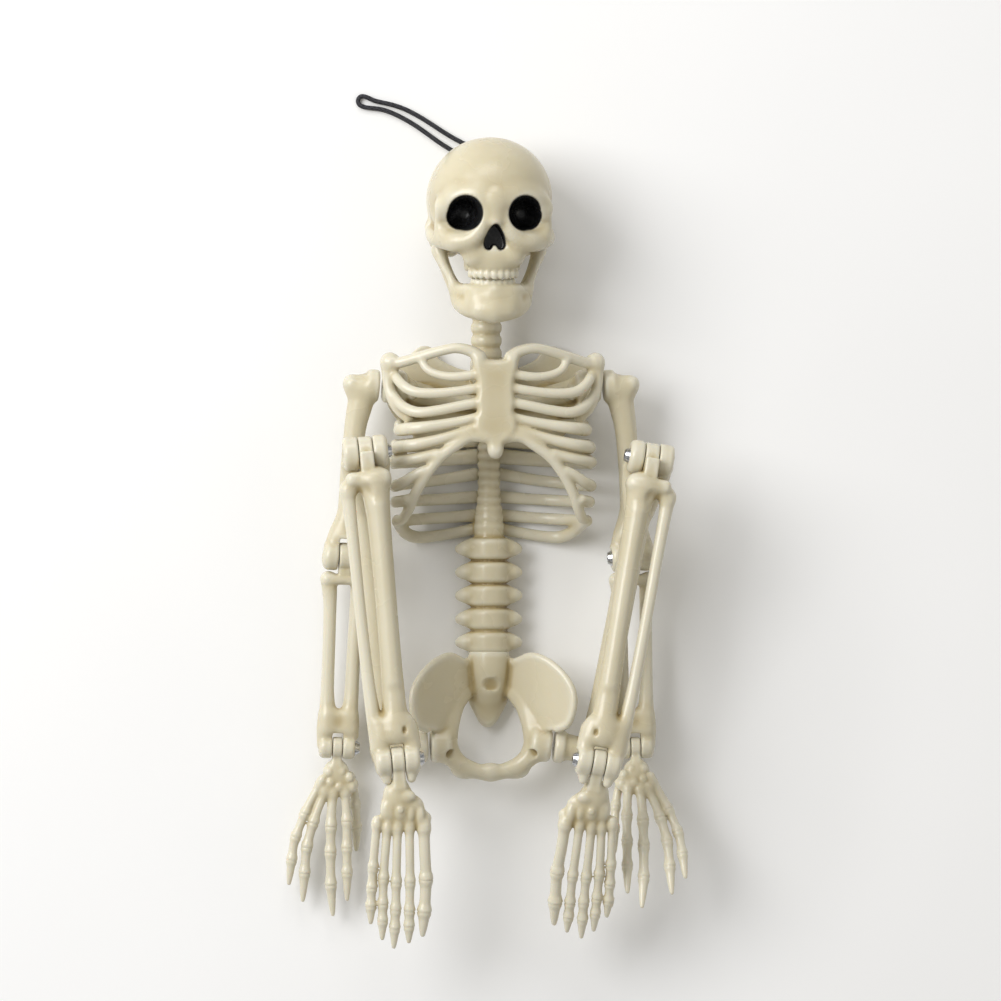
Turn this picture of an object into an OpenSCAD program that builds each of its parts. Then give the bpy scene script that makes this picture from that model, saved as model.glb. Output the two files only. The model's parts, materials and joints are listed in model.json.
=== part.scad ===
// Posable skeleton figure, lying on its back with the legs folded up beside the chest.
// +Z is the front of the body, +Y points to the head, +X is the figure's own left.
// The origin is on the floor, below the middle of the figure.
// Limb parts are drawn for the figure's left side and mirrored for the right side.

/* [Layout] */
// Centre line of the torso, from the origin
figure_x = 1.5; // [0:0.5:6]
// Shift of the whole figure along its length
figure_y = 0; // [-10:0.5:10]
// Height of the shoulder pivots above the floor
shoulder_z = 16; // [14:0.5:18]
// Height of the hip pivots above the floor
hip_z = 14; // [12:0.5:16]

/* [Head] */
// Sideways shift of the head and neck from the torso's centre line
head_x = -1.3; // [-2:0.1:2]
// Radius of the brain case
cranium_r = 20.5; // [19:0.5:22]
// How much longer than wide the brain case is, front to back
cranium_stretch = 8.5; // [6:0.5:10]
// Centre of the brain case above the middle of the figure
cranium_y = 112.5; // [110:0.5:115]
// Wall of the two skull shells
skull_wall = 1.6; // [1.2:0.1:2.4]
// Height of the seam between the two skull shells
skull_seam_z = 22; // [21:0.5:23]
// Jaw hinge, along the body
jaw_pivot_y = 96.4; // [96:0.1:97]
// Half the width of the jaw at its hinges
jaw_half_w = 18; // [17.5:0.1:18.2]

/* [Trunk] */
// Height where the front ribs meet the rear ribs
rib_seam_z = 19; // [18:0.5:20]
// Radius of a rib
rib_r = 1.6; // [1.3:0.1:1.9]
// Radius of a lumbar vertebra
vertebra_r = 6.2; // [5.5:0.1:6.5]
// Half the span of a vertebra's side fins
fin_half_w = 11.3; // [10:0.1:12]
// Distance between the shoulder pivot planes and the centre line
shoulder_x = 36.5; // [36:0.5:37]
// Shoulder pivots above the middle of the figure
shoulder_y = 51.5; // [50:0.5:53]
// Distance between the hip pivot planes and the centre line
hip_x = 20.4; // [20:0.1:21]
// Hip pivots, along the body
hip_y = -67; // [-68:0.5:-66]

/* [Arms] */
// Shoulder pivot to elbow pivot
upper_arm_len = 57; // [54:0.5:60]
// Elbow pivot to wrist pivot
forearm_len = 63; // [60:0.5:66]
// Wrist pivot to the tip of the middle finger
hand_len = 55; // [50:0.5:58]
// Angle of the left shoulder peg, in plan
arm_tilt_left = 3.5; // [2:0.5:5]
// Angle of the right shoulder peg, in plan
arm_tilt_right = 4.5; // [3:0.5:6]
// Angle between the upper arm and the forearm, in plan
carrying_angle = 2.3; // [0:0.1:4]
// How far the arms droop towards the floor
arm_drop = 3; // [1:0.5:4]
// Bend of the left wrist towards the front
wrist_bend_left = 24; // [0:1:30]
// Bend of the right wrist towards the front
wrist_bend_right = 0; // [0:1:30]

/* [Legs] */
// Hip pivot to knee pivot
thigh_len = 100.5; // [96:0.5:104]
// Knee pivot to ankle pivot
shin_len = 101; // [98:0.5:104]
// Ankle pivot to the tip of the longest toe
foot_len = 61.5; // [58:0.5:64]
// Angle of the left hip peg, in plan
hip_tilt_left = 6; // [5:0.5:7]
// Angle of the right hip peg, in plan
hip_tilt_right = 1.5; // [1:0.5:3]
// Angle of the thigh bone to its peg, in plan
thigh_splay = 3.5; // [2:0.5:4]
// Fold of the hips
hip_fold = 167; // [164:1:170]
// Fold of the knees
knee_fold = 164; // [160:1:168]
// Droop of the left foot past the line of the shin
foot_droop_left = 22; // [10:1:25]
// Droop of the right foot past the line of the shin
foot_droop_right = 8; // [5:1:25]
// Angle of the foot to the shin, in plan
toe_out = 5; // [4:1:8]

/* [Hinges] */
// Gap between a tongue and each ear of its fork
side_play = 0.2; // [0.15:0.05:0.3]
// Radius of the hinge screws
screw_r = 1.25; // [1.2:0.05:1.4]
// Play between a screw and the tongue that turns on it
screw_play = 0.05; // [0.03:0.01:0.1]
// How much smaller the far ear's pilot hole is than the screw
screw_bite = 0.15; // [0.1:0.05:0.2]
// Radius of the hip and shoulder pegs
peg_r = 2.4; // [2:0.1:2.6]
// Play between a peg and its socket
peg_play = 0.15; // [0.1:0.05:0.2]

/* [Hanging loop] */
// Diameter of the braided elastic
cord_d = 1.5; // [1.2:0.1:2]

/* [Hidden] */
$fn = 48;
bone = [0.85, 0.82, 0.73];
shade = [0.80, 0.77, 0.67];
zinc = [0.72, 0.73, 0.75];
black = [0.10, 0.10, 0.11];

// hinges: ear thickness, width of the gap in the fork, and the radius of the round ends
elbow = [4.4, 4.6, 4.9];
wrist = [4, 3.6, 3.8];
knee = [4.6, 5.0, 5.6];
ankle = [4.8, 4.6, 4.8];
pivot_gap = 1;
seat = 0.4;
peg_len = 5;
snap_r = 3;
snap_len = 1.3;

// shafts of the limbs, beside their pivots
shoulder_out = 7;
thigh_out = 14;
knee_offset_z = 5;
ankle_in = -1.5;
ankle_up = 2;

// spine and neck
spine_z = 7.5;
neck_z = 12.5;
neck_bottom_y = 60;
neck_top_y = 91;
neck_r = 4.6;
lumbar_top_y = 0;
lumbar_pitch = 7.6;
lumbar_count = 5;
waist_y = -36;
waist_peg_r = 3;

// ribs: places along the body where the front and rear ribs meet, and where they reach the middle
rib_side_y = [49, 43.6, 38, 31.5, 26.3, 18.5, 13.2, 7];
rib_side_w = [26.5, 29, 30.8, 32, 32.5, 32.5, 32, 31.4];
rib_spine_y = [51, 46, 40.5, 34, 27.6, 21.7, 16.5, 11.9];
rib_front_y = [52, 46, 41.5, 37.5];
stub_angle = [90, 64, 45, 16];
arch_points = [
  [5, 35.5, 32], [13, 31.5, 32], [20.7, 24.4, 31], [26, 15.8, 28], [28.6, 8.6, 24], [31, 6.4, 19.6]
];
arch_r = 2.1;
rib_sides = 8;
collar_points = [
  [5.5, 60, 31.6], [13, 63, 30.8], [19, 62.2, 29], [25, 60.4, 26.6], [30.6, 58, 23.6], [34, 56.2, 21]
];
collar_r = 1.9;
breast_bone_t = 4.6;
rear_bend = rib_seam_z - rib_r;
front_bend = 13;

// hanging loop: the exit in the skull, the route of one strand, and the knot inside
loop_points = [
  [0.9, 123.8, 7.1], [0.8, 125.2, 5.5], [0.4, 126.6, 3.8], [-0.4, 128, 2.2], [-1.8, 129.4, 1.1],
  [-4, 130.6, 0.8], [-7, 132, 0.8], [-10.4, 133.8, 0.8], [-14, 136, 0.8], [-18, 138.6, 0.8], [-22, 141, 0.8],
  [-26, 143, 0.8], [-30, 144.4, 0.8], [-33.6, 145.2, 0.8], [-36.4, 145.9, 0.8], [-38.6, 146.9, 0.8],
  [-40.4, 147.2, 0.8], [-41.5, 146, 0.8], [-41, 144.4, 0.8], [-39.2, 143.6, 0.8], [-36.8, 143.3, 0.8],
  [-33.8, 142.9, 0.8], [-30.4, 141.8, 0.8], [-26.6, 140, 0.8], [-22.8, 137.8, 0.8], [-19, 135.2, 0.8],
  [-15.4, 132.6, 0.8], [-12, 130.4, 0.8], [-8.8, 128.6, 0.8], [-5.8, 127.6, 0.9], [-3.2, 127.2, 1.4],
  [-1.7, 126.7, 2.9], [-1.1, 126, 4.5], [-0.9, 125, 5.8], [-0.9, 123.8, 7.1]
];
knot_at = [0, 122.7, 8.4];
loop_sides = 8;
loop_hole_r = 2.2;
knot_r = 2.9;

function tilt_of(side, left, right) = side > 0 ? left : right;
function unit(v) = v / norm(v);

// A solid tube with round sides along a list of points
function heading(p, i) = unit(p[min(i + 1, len(p) - 1)] - p[max(i - 1, 0)]);
function across(d) = unit(cross(d, abs(d[2]) < 0.9 ? [0, 0, 1] : [0, 1, 0]));
function ring(c, d, r, n) =
  let (u = across(d), v = cross(u, d))
    [for (k = [0:n - 1]) c + r * (cos(360 * k / n) * u + sin(360 * k / n) * v)];

module tube(p, r, n) {
  rings = len(p);
  points = [for (i = [0:rings - 1]) each ring(p[i], heading(p, i), r, n)];
  sides = [for (i = [0:rings - 2], k = [0:n - 1])
    [i * n + k, (i + 1) * n + k, (i + 1) * n + (k + 1) % n, i * n + (k + 1) % n]];
  first = [[for (k = [0:n - 1]) k]];
  last = [[for (k = [n - 1:-1:0]) (rings - 1) * n + k]];
  polyhedron(points, concat(sides, first, last));
}

// Frames of the body and of each limb, all for the left side
module figure() {
  translate([figure_x, figure_y, 0]) children();
}
module head_frame() {
  figure() translate([head_x, 0, 0]) children();
}
module on_side(side) {
  figure() mirror([side < 0 ? 1 : 0, 0, 0]) children();
}
module shoulder_axis(side) {
  on_side(side) translate([shoulder_x, shoulder_y, shoulder_z])
    rotate([0, 0, tilt_of(side, arm_tilt_left, arm_tilt_right)]) children();
}
module upper_arm_frame(side) {
  shoulder_axis(side) rotate([arm_drop, 0, 0]) children();
}
module forearm_frame(side) {
  upper_arm_frame(side) translate([shoulder_out, -upper_arm_len, 0]) children();
}
module hand_frame(side) {
  forearm_frame(side) rotate([0, 0, -carrying_angle]) translate([0, -forearm_len, 0])
    rotate([-tilt_of(side, wrist_bend_left, wrist_bend_right), 0, 0]) children();
}
module hip_axis(side) {
  on_side(side) translate([hip_x, hip_y, hip_z])
    rotate([0, 0, -tilt_of(side, hip_tilt_left, hip_tilt_right)]) children();
}
module thigh_frame(side) {
  hip_axis(side) rotate([-hip_fold, 0, 0]) children();
}
module shin_frame(side) {
  thigh_frame(side) rotate([0, 0, thigh_splay]) translate([thigh_out, -thigh_len, 0])
    rotate([knee_fold, 0, 0]) children();
}
module foot_frame(side) {
  shin_frame(side) translate([ankle_in, -shin_len, ankle_up])
    rotate([tilt_of(side, foot_droop_left, foot_droop_right), 0, 0]) children();
}

// Shapes that the limbs share
module rod(x0, x1, r) {
  translate([x0, 0, 0]) rotate([0, 90, 0]) cylinder(r = r, h = x1 - x0);
}
// A bar between two points, with a slightly fuller ball at its far end
module bar(a, b, r) {
  v = b - a;
  translate(a) rotate([0, acos(v[2] / norm(v)), atan2(v[1], v[0])])
    cylinder(r = r, h = norm(v), $fn = rib_sides);
  translate(b) sphere(r = 1.06 * r, $fn = 32);
}
// A bone shaft along -Y, thick at both ends
module shaft(length, r_top, r_mid, r_end) {
  steps = 8;
  edge = [for (i = [0:steps]) let (t = i / steps)
    [r_mid + (r_top - r_mid) * pow(1 - t, 4) + (r_end - r_mid) * pow(t, 4), length * t]];
  rotate([90, 0, 0]) rotate_extrude() polygon(concat([[0, 0]], edge, [[0, length]]));
}
// A finger or toe along -Y, with a bulge at each knuckle
module digit(length, r) {
  steps = 12;
  edge = [for (i = [0:steps]) let (t = i / steps)
    [r * (1 - 0.3 * t) * (0.8 + 0.2 * cos(1080 * t)), length * t]];
  rotate([90, 0, 0]) rotate_extrude() polygon(concat([[0, 0]], edge, [[0, length + r / 2]]));
}
// Flat plate in the YZ plane, from x0 to x1
module plate(x0, x1) {
  translate([x0, 0, 0]) rotate([90, 0, 90]) linear_extrude(height = x1 - x0) children();
}
// One leg of a hinge: a disc about the pivot and an arm up to y = reach
module leg_outline(r, reach, z0, z1) {
  circle(r = r);
  polygon([[0, min(z0, 0)], [0, z1], [reach, z1], [reach, z0]]);
}
// A fork with its screw hole: the head side is -X, and the far ear takes the thread
module fork(size, reach, z0, z1) {
  half = size[1] / 2;
  difference() {
    for (x = [-half - size[0], half])
      plate(x, x + size[0]) leg_outline(size[2], reach, z0, z1);
    rod(-half - size[0] - 1, 0, screw_r + screw_play);
    rod(0, half + size[0] + 1, screw_r - screw_bite);
  }
}
// The tongue that turns in a fork, with its arm down to y = -reach
module tongue(size, reach, z0, z1) {
  half = size[1] / 2 - side_play;
  difference() {
    plate(-half, half) mirror([1, 0]) leg_outline(size[2] - 0.3, reach, z0, z1);
    rod(-half - 1, half + 1, screw_r + screw_play);
  }
}
// A pan-head screw that comes in from the -X side
module hinge_screw(size) {
  face = -size[1] / 2 - size[0];
  head_r = 2.1 * screw_r;
  head_h = 1.2 * screw_r;
  color(zinc) difference() {
    union() {
      rod(face, size[1] / 2 + size[0] - 0.6, screw_r);
      translate([face, 0, 0]) rotate([0, -90, 0]) cylinder(r1 = head_r, r2 = 0.7 * head_r, h = head_h);
    }
    for (a = [0, 90]) rotate([a, 0, 0])
      translate([face - head_h - 1, -0.25 * screw_r, -head_r / 2]) cube([1.8, 0.5 * screw_r, head_r]);
  }
}
// The snap peg of a hip or shoulder, pointing inwards from the joint plane
module snap_peg() {
  rod(-peg_len - 0.6, seat + 1, peg_r);
  translate([-peg_len - 0.6 - snap_len, 0, 0]) rotate([0, 90, 0])
    cylinder(r1 = peg_r - 0.4, r2 = snap_r, h = snap_len);
}
// The bore for a snap peg
module snap_bore() {
  rod(-peg_len, 1, peg_r + peg_play);
  rod(-peg_len - snap_len - 2.2, -peg_len, snap_r + 0.4);
}

// Head
module brain_case(r) {
  half = [for (a = [-90:7.5:0]) [r * cos(a), r * sin(a)]];
  front = [for (a = [0:7.5:90]) [r * cos(a), cranium_stretch + r * sin(a)]];
  translate([0, cranium_y, cranium_r]) rotate_extrude(convexity = 4) polygon(concat(half, front));
}
module eye_places() {
  for (x = [-10.2, 10.2]) translate([x, cranium_y - 4.5, 34]) children();
}
module jaw_sockets(r, x_out) {
  for (side = [-1, 1]) mirror([side < 0 ? 1 : 0, 0, 0])
    translate([0, jaw_pivot_y, skull_seam_z]) rod(7, x_out, r);
}
module skull_whole() {
  difference() {
    union() {
      difference() {
        brain_case(cranium_r);
        brain_case(cranium_r - skull_wall);
      }
      intersection() {
        brain_case(cranium_r - 0.2);
        eye_places() cylinder(r = 7.6, h = 20);
      }
      jaw_sockets(4, jaw_half_w - 3.8);
      // upper jaw and nose, in front of the hollow
      hull() {
        translate([-9, 96, 38]) sphere(r = 4, $fn = 20);
        translate([9, 96, 38]) sphere(r = 4, $fn = 20);
        translate([-6.5, 91, 41]) sphere(r = 3, $fn = 20);
        translate([6.5, 91, 41]) sphere(r = 3, $fn = 20);
        translate([0, 106, 43]) sphere(r = 5, $fn = 20);
      }
      // row of upper teeth
      translate([0, 90.5, 33]) rotate([90, 0, 0]) cylinder(r = 9, h = 4.2);
      // cheek bones
      for (x = [-1, 1]) hull() {
        translate([x * 13, 101, 40]) sphere(r = 2.6, $fn = 16);
        translate([x * 19.2, 103.4, 28]) sphere(r = 1.3, $fn = 16);
        translate([x * 18.2, 106, 21]) sphere(r = 1.3, $fn = 16);
      }
      // base, around the neck
      translate([0, 98, neck_z]) rotate([90, 0, 0]) cylinder(r = 7, h = 5.2);
    }
    eye_places() translate([0, 0, 2]) cylinder(r1 = 4.4, r2 = 6.2, h = 18);
    // nose opening
    translate([0, 100.5, 42]) cylinder(r1 = 2.4, r2 = 3.4, h = 9);
    jaw_sockets(1.7, jaw_half_w + 4);
    // socket for the neck
    translate([0, 99, neck_z]) rotate([90, 0, 0]) cylinder(r = 2.6, h = 8);
  }
}
module skull_face() {
  color(bone) head_frame() intersection() {
    skull_whole();
    translate([-30, 60, skull_seam_z]) cube([60, 90, 40]);
  }
}
module skull_rear() {
  color(bone) head_frame() difference() {
    skull_whole();
    translate([-30, 60, skull_seam_z]) cube([60, 90, 40]);
    // way out for the hanging loop
    translate([0, cranium_y + 9.8, 8.7]) rotate([-130, 0, 0]) cylinder(r = loop_hole_r, h = 12);
  }
}
module jaw() {
  color(bone) head_frame() {
    for (side = [-1, 1]) mirror([side < 0 ? 1 : 0, 0, 0]) {
      // branch with its hinge peg
      plate_x = jaw_half_w - 2.1;
      hull() {
        translate([plate_x, jaw_pivot_y, skull_seam_z])
          rotate([0, 90, 0]) cylinder(r = 2.8, h = 2.1, $fn = 24);
        translate([12.2, 81, 27]) rotate([0, 90, 0]) cylinder(r = 3.6, h = 2.1, $fn = 24);
      }
      translate([0, jaw_pivot_y, skull_seam_z]) rod(9, plate_x + 1, 1.55);
      // body
      hull() {
        translate([12.6, 80.4, 28]) sphere(r = 2.2, $fn = 16);
        translate([5.5, 78, 40]) sphere(r = 2.6, $fn = 16);
        translate([5.5, 82.5, 40]) sphere(r = 1.8, $fn = 16);
      }
    }
    // chin
    hull() {
      translate([-5.5, 75.2, 40]) sphere(r = 2.9, $fn = 16);
      translate([5.5, 75.2, 40]) sphere(r = 2.9, $fn = 16);
      translate([-5.5, 82.5, 40.5]) sphere(r = 1.9, $fn = 16);
      translate([5.5, 82.5, 40.5]) sphere(r = 1.9, $fn = 16);
    }
    // row of lower teeth
    difference() {
      translate([0, 85.8, 34]) rotate([90, 0, 0]) cylinder(r = 8.4, h = 4);
      translate([0, 86.8, 34]) rotate([90, 0, 0]) cylinder(r = 5.6, h = 7);
      translate([-12, 80, 24]) cube([24, 8, 9]);
    }
  }
}

// Neck post with its rings, a press peg below and a snap pin above
module neck() {
  rings = 4;
  pitch = (neck_top_y - neck_bottom_y) / rings;
  edge = [for (i = [0:rings - 1]) each [[neck_r, i * pitch], [neck_r, i * pitch + 3.4],
    [neck_r - 1, i * pitch + 4.4], [neck_r - 1, i * pitch + pitch - 1]]];
  pin = [[2.3, neck_top_y - neck_bottom_y - 1], [2.3, neck_top_y - neck_bottom_y + 7.6], [2.9, 39],
    [2, 40.5], [0, 40.5]];
  color(bone) head_frame() translate([0, neck_bottom_y, neck_z]) rotate([-90, 0, 0]) union() {
    rotate_extrude() polygon(concat([[0, 0]], edge, pin));
    translate([0, 0, -4]) cylinder(r = 2.2, h = 5);
  }
}

// Hanging loop and its knot
module hanging_loop() {
  color(black) head_frame() tube(loop_points, cord_d / 2, loop_sides);
}
module loop_knot() {
  color(black) head_frame() translate(knot_at) sphere(r = knot_r, $fn = 24);
}

// Trunk
// A bend of a rib, from its side end up and inwards
module rib_bend(bend, angle) {
  translate([-bend, 0, 0]) rotate([90, 0, 0])
    rotate_extrude(angle = angle) translate([bend, 0]) circle(r = rib_r, $fn = rib_sides);
}
module rib(span, bend) {
  rib_bend(bend, 90);
  translate([-bend, 0, bend]) rotate([0, -90, 0]) cylinder(r = rib_r, h = span - bend, $fn = rib_sides);
}
module rear_torso() {
  color(shade) figure() difference() {
    union() {
      // upper spine
      translate([0, waist_y, spine_z]) rotate([-90, 0, 0])
        cylinder(r = vertebra_r - 0.7, h = neck_bottom_y - waist_y);
      // top of the spine, around the neck's peg
      translate([-6, 52, 3]) cube([12, neck_bottom_y - 52, 15]);
      // lumbar vertebrae with their fins
      for (i = [0:lumbar_count - 1]) translate([0, lumbar_top_y - i * lumbar_pitch, spine_z]) {
        rotate([90, 0, 0]) cylinder(r = vertebra_r, h = 4.7);
        translate([-fin_half_w, -4, -1.5]) cube([2 * fin_half_w, 3.2, 3]);
      }
      for (side = [-1, 1]) mirror([side < 0 ? 1 : 0, 0, 0]) {
        // rear halves of the ribs
        for (i = [0:len(rib_side_y) - 1]) let (w = rib_side_w[i])
          translate([w, rib_side_y[i], rib_seam_z]) mirror([0, 0, 1])
            rotate([0, 0, atan((rib_side_y[i] - rib_spine_y[i]) / w)]) rib(w, rear_bend);
        // two lowest ribs
        for (y = [0.8, 5.4]) translate([0, y, rib_r])
          rotate([0, 90, 0]) cylinder(r = rib_r, h = 22, $fn = rib_sides);
        // shoulder blade
        translate([0, 0, 0.6]) linear_extrude(height = 2.6)
          polygon([[12, 34], [16, 52], [30, 55], [30, 46], [17, 27]]);
        // shoulder block and the bar that carries it
        translate([0, 49.5, 6]) rotate([0, 70, 8]) cylinder(r = 2.6, h = 32);
      }
      for (side = [-1, 1]) shoulder_block(side);
    }
    for (side = [-1, 1]) shoulder_socket(side);
    translate([head_x, neck_bottom_y - 5, neck_z]) rotate([-90, 0, 0]) cylinder(r = 2.15, h = 6);
    translate([0, waist_y - 1, spine_z]) rotate([-90, 0, 0]) cylinder(r = waist_peg_r, h = 7);
  }
}
module unfigure() {
  translate([-figure_x, -figure_y, 0]) children();
}
module shoulder_block(side) {
  unfigure() shoulder_axis(side) rod(-peg_len - 3, -seat, 5.6);
}
module shoulder_socket(side) {
  unfigure() shoulder_axis(side) snap_bore();
}
module front_rib_cage() {
  top_z = rib_seam_z + front_bend;
  color(bone) figure() {
    // breast bone
    translate([0, 0, top_z - breast_bone_t / 2]) linear_extrude(height = breast_bone_t)
      polygon([[-6.4, 61], [6.4, 61], [7.4, 56], [4.8, 50], [4.8, 38], [6.6, 34], [2, 27], [-2, 27],
        [-6.6, 34], [-4.8, 38], [-4.8, 50], [-7.4, 56]]);
    for (side = [-1, 1]) mirror([side < 0 ? 1 : 0, 0, 0]) {
      // upper ribs, from the side seam to the breast bone
      for (i = [0:len(rib_front_y) - 1]) let (w = rib_side_w[i])
        translate([w, rib_side_y[i], rib_seam_z])
          rotate([0, 0, -atan((rib_front_y[i] - rib_side_y[i]) / (w - 5))]) rib(w - 2.5, front_bend);
      // stubs of the lower ribs, up to the costal arch
      for (i = [0:len(stub_angle) - 1])
        translate([rib_side_w[i + len(rib_front_y)], rib_side_y[i + len(rib_front_y)], rib_seam_z])
          rib_bend(front_bend, stub_angle[i]);
      // costal arch
      for (i = [1:len(arch_points) - 1]) bar(arch_points[i - 1], arch_points[i], arch_r);
      // collar bone, into the top of the shoulder block
      for (i = [1:len(collar_points) - 1]) bar(collar_points[i - 1], collar_points[i], collar_r);
    }
  }
}
module pelvis() {
  color(bone) figure() difference() {
    union() {
      difference() {
        pelvis_body();
        for (side = [-1, 1]) unfigure() hip_axis(side) rod(-seat, 12, 6.2);
      }
      for (side = [-1, 1]) unfigure() hip_axis(side) rod(-peg_len - snap_len - 1, -seat, 5.4);
    }
    for (side = [-1, 1]) unfigure() hip_axis(side) snap_bore();
  }
}
module pelvis_body() {
  // sacrum and tail
  translate([0, waist_y - 2, spine_z]) rotate([90, 0, 0]) cylinder(r1 = 6.6, r2 = 3, h = 24);
  translate([0, waist_y, spine_z]) rotate([90, 0, 0]) cylinder(r = 6.6, h = 4);
  translate([0, waist_y - 1, spine_z]) rotate([-90, 0, 0]) cylinder(r = waist_peg_r, h = 6);
  translate([-5, -58, 0]) cube([10, 18, 5]);
  // hip bones
  for (side = [-1, 1]) mirror([side < 0 ? 1 : 0, 0, 0]) {
    hull() {
      translate([5, -42, 6]) sphere(r = 2.6, $fn = 20);
      translate([5, -54, 6]) sphere(r = 2.6, $fn = 20);
      translate([15, -60, 13]) sphere(r = 3, $fn = 20);
      translate([14, -40, 17]) sphere(r = 1.6, $fn = 20);
    }
    hull() {
      translate([14, -40, 17]) sphere(r = 1.6, $fn = 20);
      translate([15, -60, 13]) sphere(r = 3, $fn = 20);
      translate([25.5, -49, 24]) sphere(r = 1.6, $fn = 20);
      translate([21, -39.5, 21]) sphere(r = 1.6, $fn = 20);
      translate([22.5, -57, 20]) sphere(r = 1.8, $fn = 20);
    }
  }
  // ring of the pelvis
  translate([0, -62, 11]) linear_extrude(height = 6) difference() {
    scale([1, 0.95]) circle(r = 18);
    translate([0, 1]) scale([1, 0.95]) circle(r = 12);
    translate([-30, 6]) square([60, 30]);
  }
}

// Arms
module humerus(side) {
  color(bone) upper_arm_frame(side) union() {
    snap_peg();
    rod(seat, shoulder_out + 4, 5.6);
    difference() {
      translate([shoulder_out, 0, 0]) shaft(upper_arm_len - 6, 5.4, 3.6, 4.8);
      translate([shoulder_out - elbow[1] / 2, -upper_arm_len, -10])
        cube([elbow[1], elbow[2] + pivot_gap, 20]);
    }
    translate([shoulder_out, -upper_arm_len, 0])
      fork(elbow, elbow[2] + pivot_gap + 4, -elbow[2] + 0.6, elbow[2] - 0.6);
  }
}
module forearm(side) {
  top = elbow[2] + pivot_gap;
  color(bone) forearm_frame(side) union() {
    tongue(elbow, top + 2, -2.7, 2.7);
    rotate([0, 0, -carrying_angle]) {
      // head of the forearm
      translate([-7.3, -top - 4.5, -3]) cube([14.6, 4.5, 6]);
      // the two bones
      for (x = [-1, 1]) translate([x * 5, -top - 2, 0]) rotate([0, 0, -x * 1.6])
        shaft(forearm_len - top - 12, 2.1, 2, 2.6);
      // lower block
      translate([-6.6, -forearm_len + wrist[2] + pivot_gap, -3.2]) cube([13.2, 9, 6.4]);
      translate([0, -forearm_len, 0]) fork(wrist, wrist[2] + pivot_gap + 2, -3, 3);
    }
  }
}
module hand(side) {
  top = wrist[2] + pivot_gap;
  angles = [1, 3, 11, 18];
  starts = [-5, -1.8, 1.6, 4.6];
  lengths = [0.95, 1, 0.94, 0.8];
  color(bone) hand_frame(side) union() {
    tongue(wrist, top + 2, -1.6, 1.6);
    // wrist bones
    translate([0, 0, -1.8]) linear_extrude(height = 3.6)
      polygon([[-5.4, -top], [5, -top], [7, -top - 8], [4, -top - 12], [-6, -top - 12], [-7, -top - 6]]);
    for (i = [0:3]) translate([starts[i], -top - 8, 0]) rotate([0, 0, angles[i]])
      digit((hand_len - top - 8) * lengths[i], 2);
    // thumb
    translate([-4.4, -top - 4, -2.2]) rotate([9, 0, -7]) digit(26, 2);
  }
}

// Legs
module femur(side) {
  color(bone) thigh_frame(side) union() {
    snap_peg();
    rod(seat, 3.4, 5.4);
    rod(3, thigh_out + 3, 3.8);
    rotate([0, 0, thigh_splay]) {
      // bow the shaft forwards, clear of the folded shin
      translate([thigh_out, 5, 0]) rotate([-atan(knee_offset_z / thigh_len), 0, 0])
        shaft(thigh_len - 2, 4.6, 4.1, 4.4);
      translate([thigh_out, -thigh_len, 0]) {
        fork(knee, knee[2] + pivot_gap + 8, 0.6, 9.6);
        translate([-knee[1] / 2 - knee[0], knee[2] + pivot_gap, 0.6])
          cube([knee[1] + 2 * knee[0], 7, 9]);
      }
    }
  }
}
module shin(side) {
  top = knee[2] + pivot_gap;
  bottom = ankle[2] + pivot_gap;
  color(bone) shin_frame(side) union() {
    tongue(knee, top + 2, 0.6, 9);
    // head of the shin
    translate([-6.4, -top - 5, 0.8]) cube([15, 5, 8.4]);
    translate([-2.2, -top - 2, knee_offset_z]) rotate([atan((knee_offset_z - ankle_up) / shin_len), 0, 0])
      shaft(shin_len - top - bottom - 4, 4.2, 3.6, 3.6);
    translate([6.6, -top - 2, knee_offset_z]) rotate([1.5, 0, -1.6])
      shaft(shin_len - top - bottom - 6, 2.1, 1.7, 2.4);
    translate([ankle_in, -shin_len, ankle_up]) {
      translate([-ankle[1] / 2 - ankle[0] + 0.6, bottom, -3.6])
        cube([ankle[1] + 2 * ankle[0] - 1.2, 9, 7.2]);
      fork(ankle, bottom + 2, -3.4, 3.4);
    }
  }
}
module foot(side) {
  top = ankle[2] + pivot_gap;
  angles = [3, 3.6, 5.2, 5.4, 6];
  starts = [-7.4, -4.2, -1.1, 2, 4.9];
  lengths = [0.93, 1, 0.97, 0.9, 0.8];
  color(bone) foot_frame(side) union() {
    tongue(ankle, top + 2, -2.7, 2.7);
    // ankle bones and heel
    rotate([0, 0, toe_out]) translate([0, 0, -3]) linear_extrude(height = 6)
      polygon([[-4.6, -top], [4.6, -top], [7, -top - 12], [5.4, -top - 18], [-8.6, -top - 18],
        [-8, -top - 10]]);
    for (i = [0:4]) rotate([0, 0, toe_out]) translate([starts[i], -top - 14, 0]) rotate([0, 0, angles[i]])
      digit((foot_len - top - 14) * lengths[i], i == 0 ? 2.5 : 2);
  }
}

module humerus_left() { humerus(1); }
module humerus_right() { humerus(-1); }
module forearm_left() { forearm(1); }
module forearm_right() { forearm(-1); }
module hand_left() { hand(1); }
module hand_right() { hand(-1); }
module femur_left() { femur(1); }
module femur_right() { femur(-1); }
module shin_left() { shin(1); }
module shin_right() { shin(-1); }
module foot_left() { foot(1); }
module foot_right() { foot(-1); }
module elbow_screw(side) { forearm_frame(side) hinge_screw(elbow); }
module wrist_screw(side) { hand_frame(side) hinge_screw(wrist); }
module knee_screw(side) { shin_frame(side) hinge_screw(knee); }
module ankle_screw(side) {
  shin_frame(side) translate([ankle_in, -shin_len, ankle_up]) hinge_screw(ankle);
}
module elbow_screw_left() { elbow_screw(1); }
module elbow_screw_right() { elbow_screw(-1); }
module wrist_screw_left() { wrist_screw(1); }
module wrist_screw_right() { wrist_screw(-1); }
module knee_screw_left() { knee_screw(1); }
module knee_screw_right() { knee_screw(-1); }
module ankle_screw_left() { ankle_screw(1); }
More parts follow.
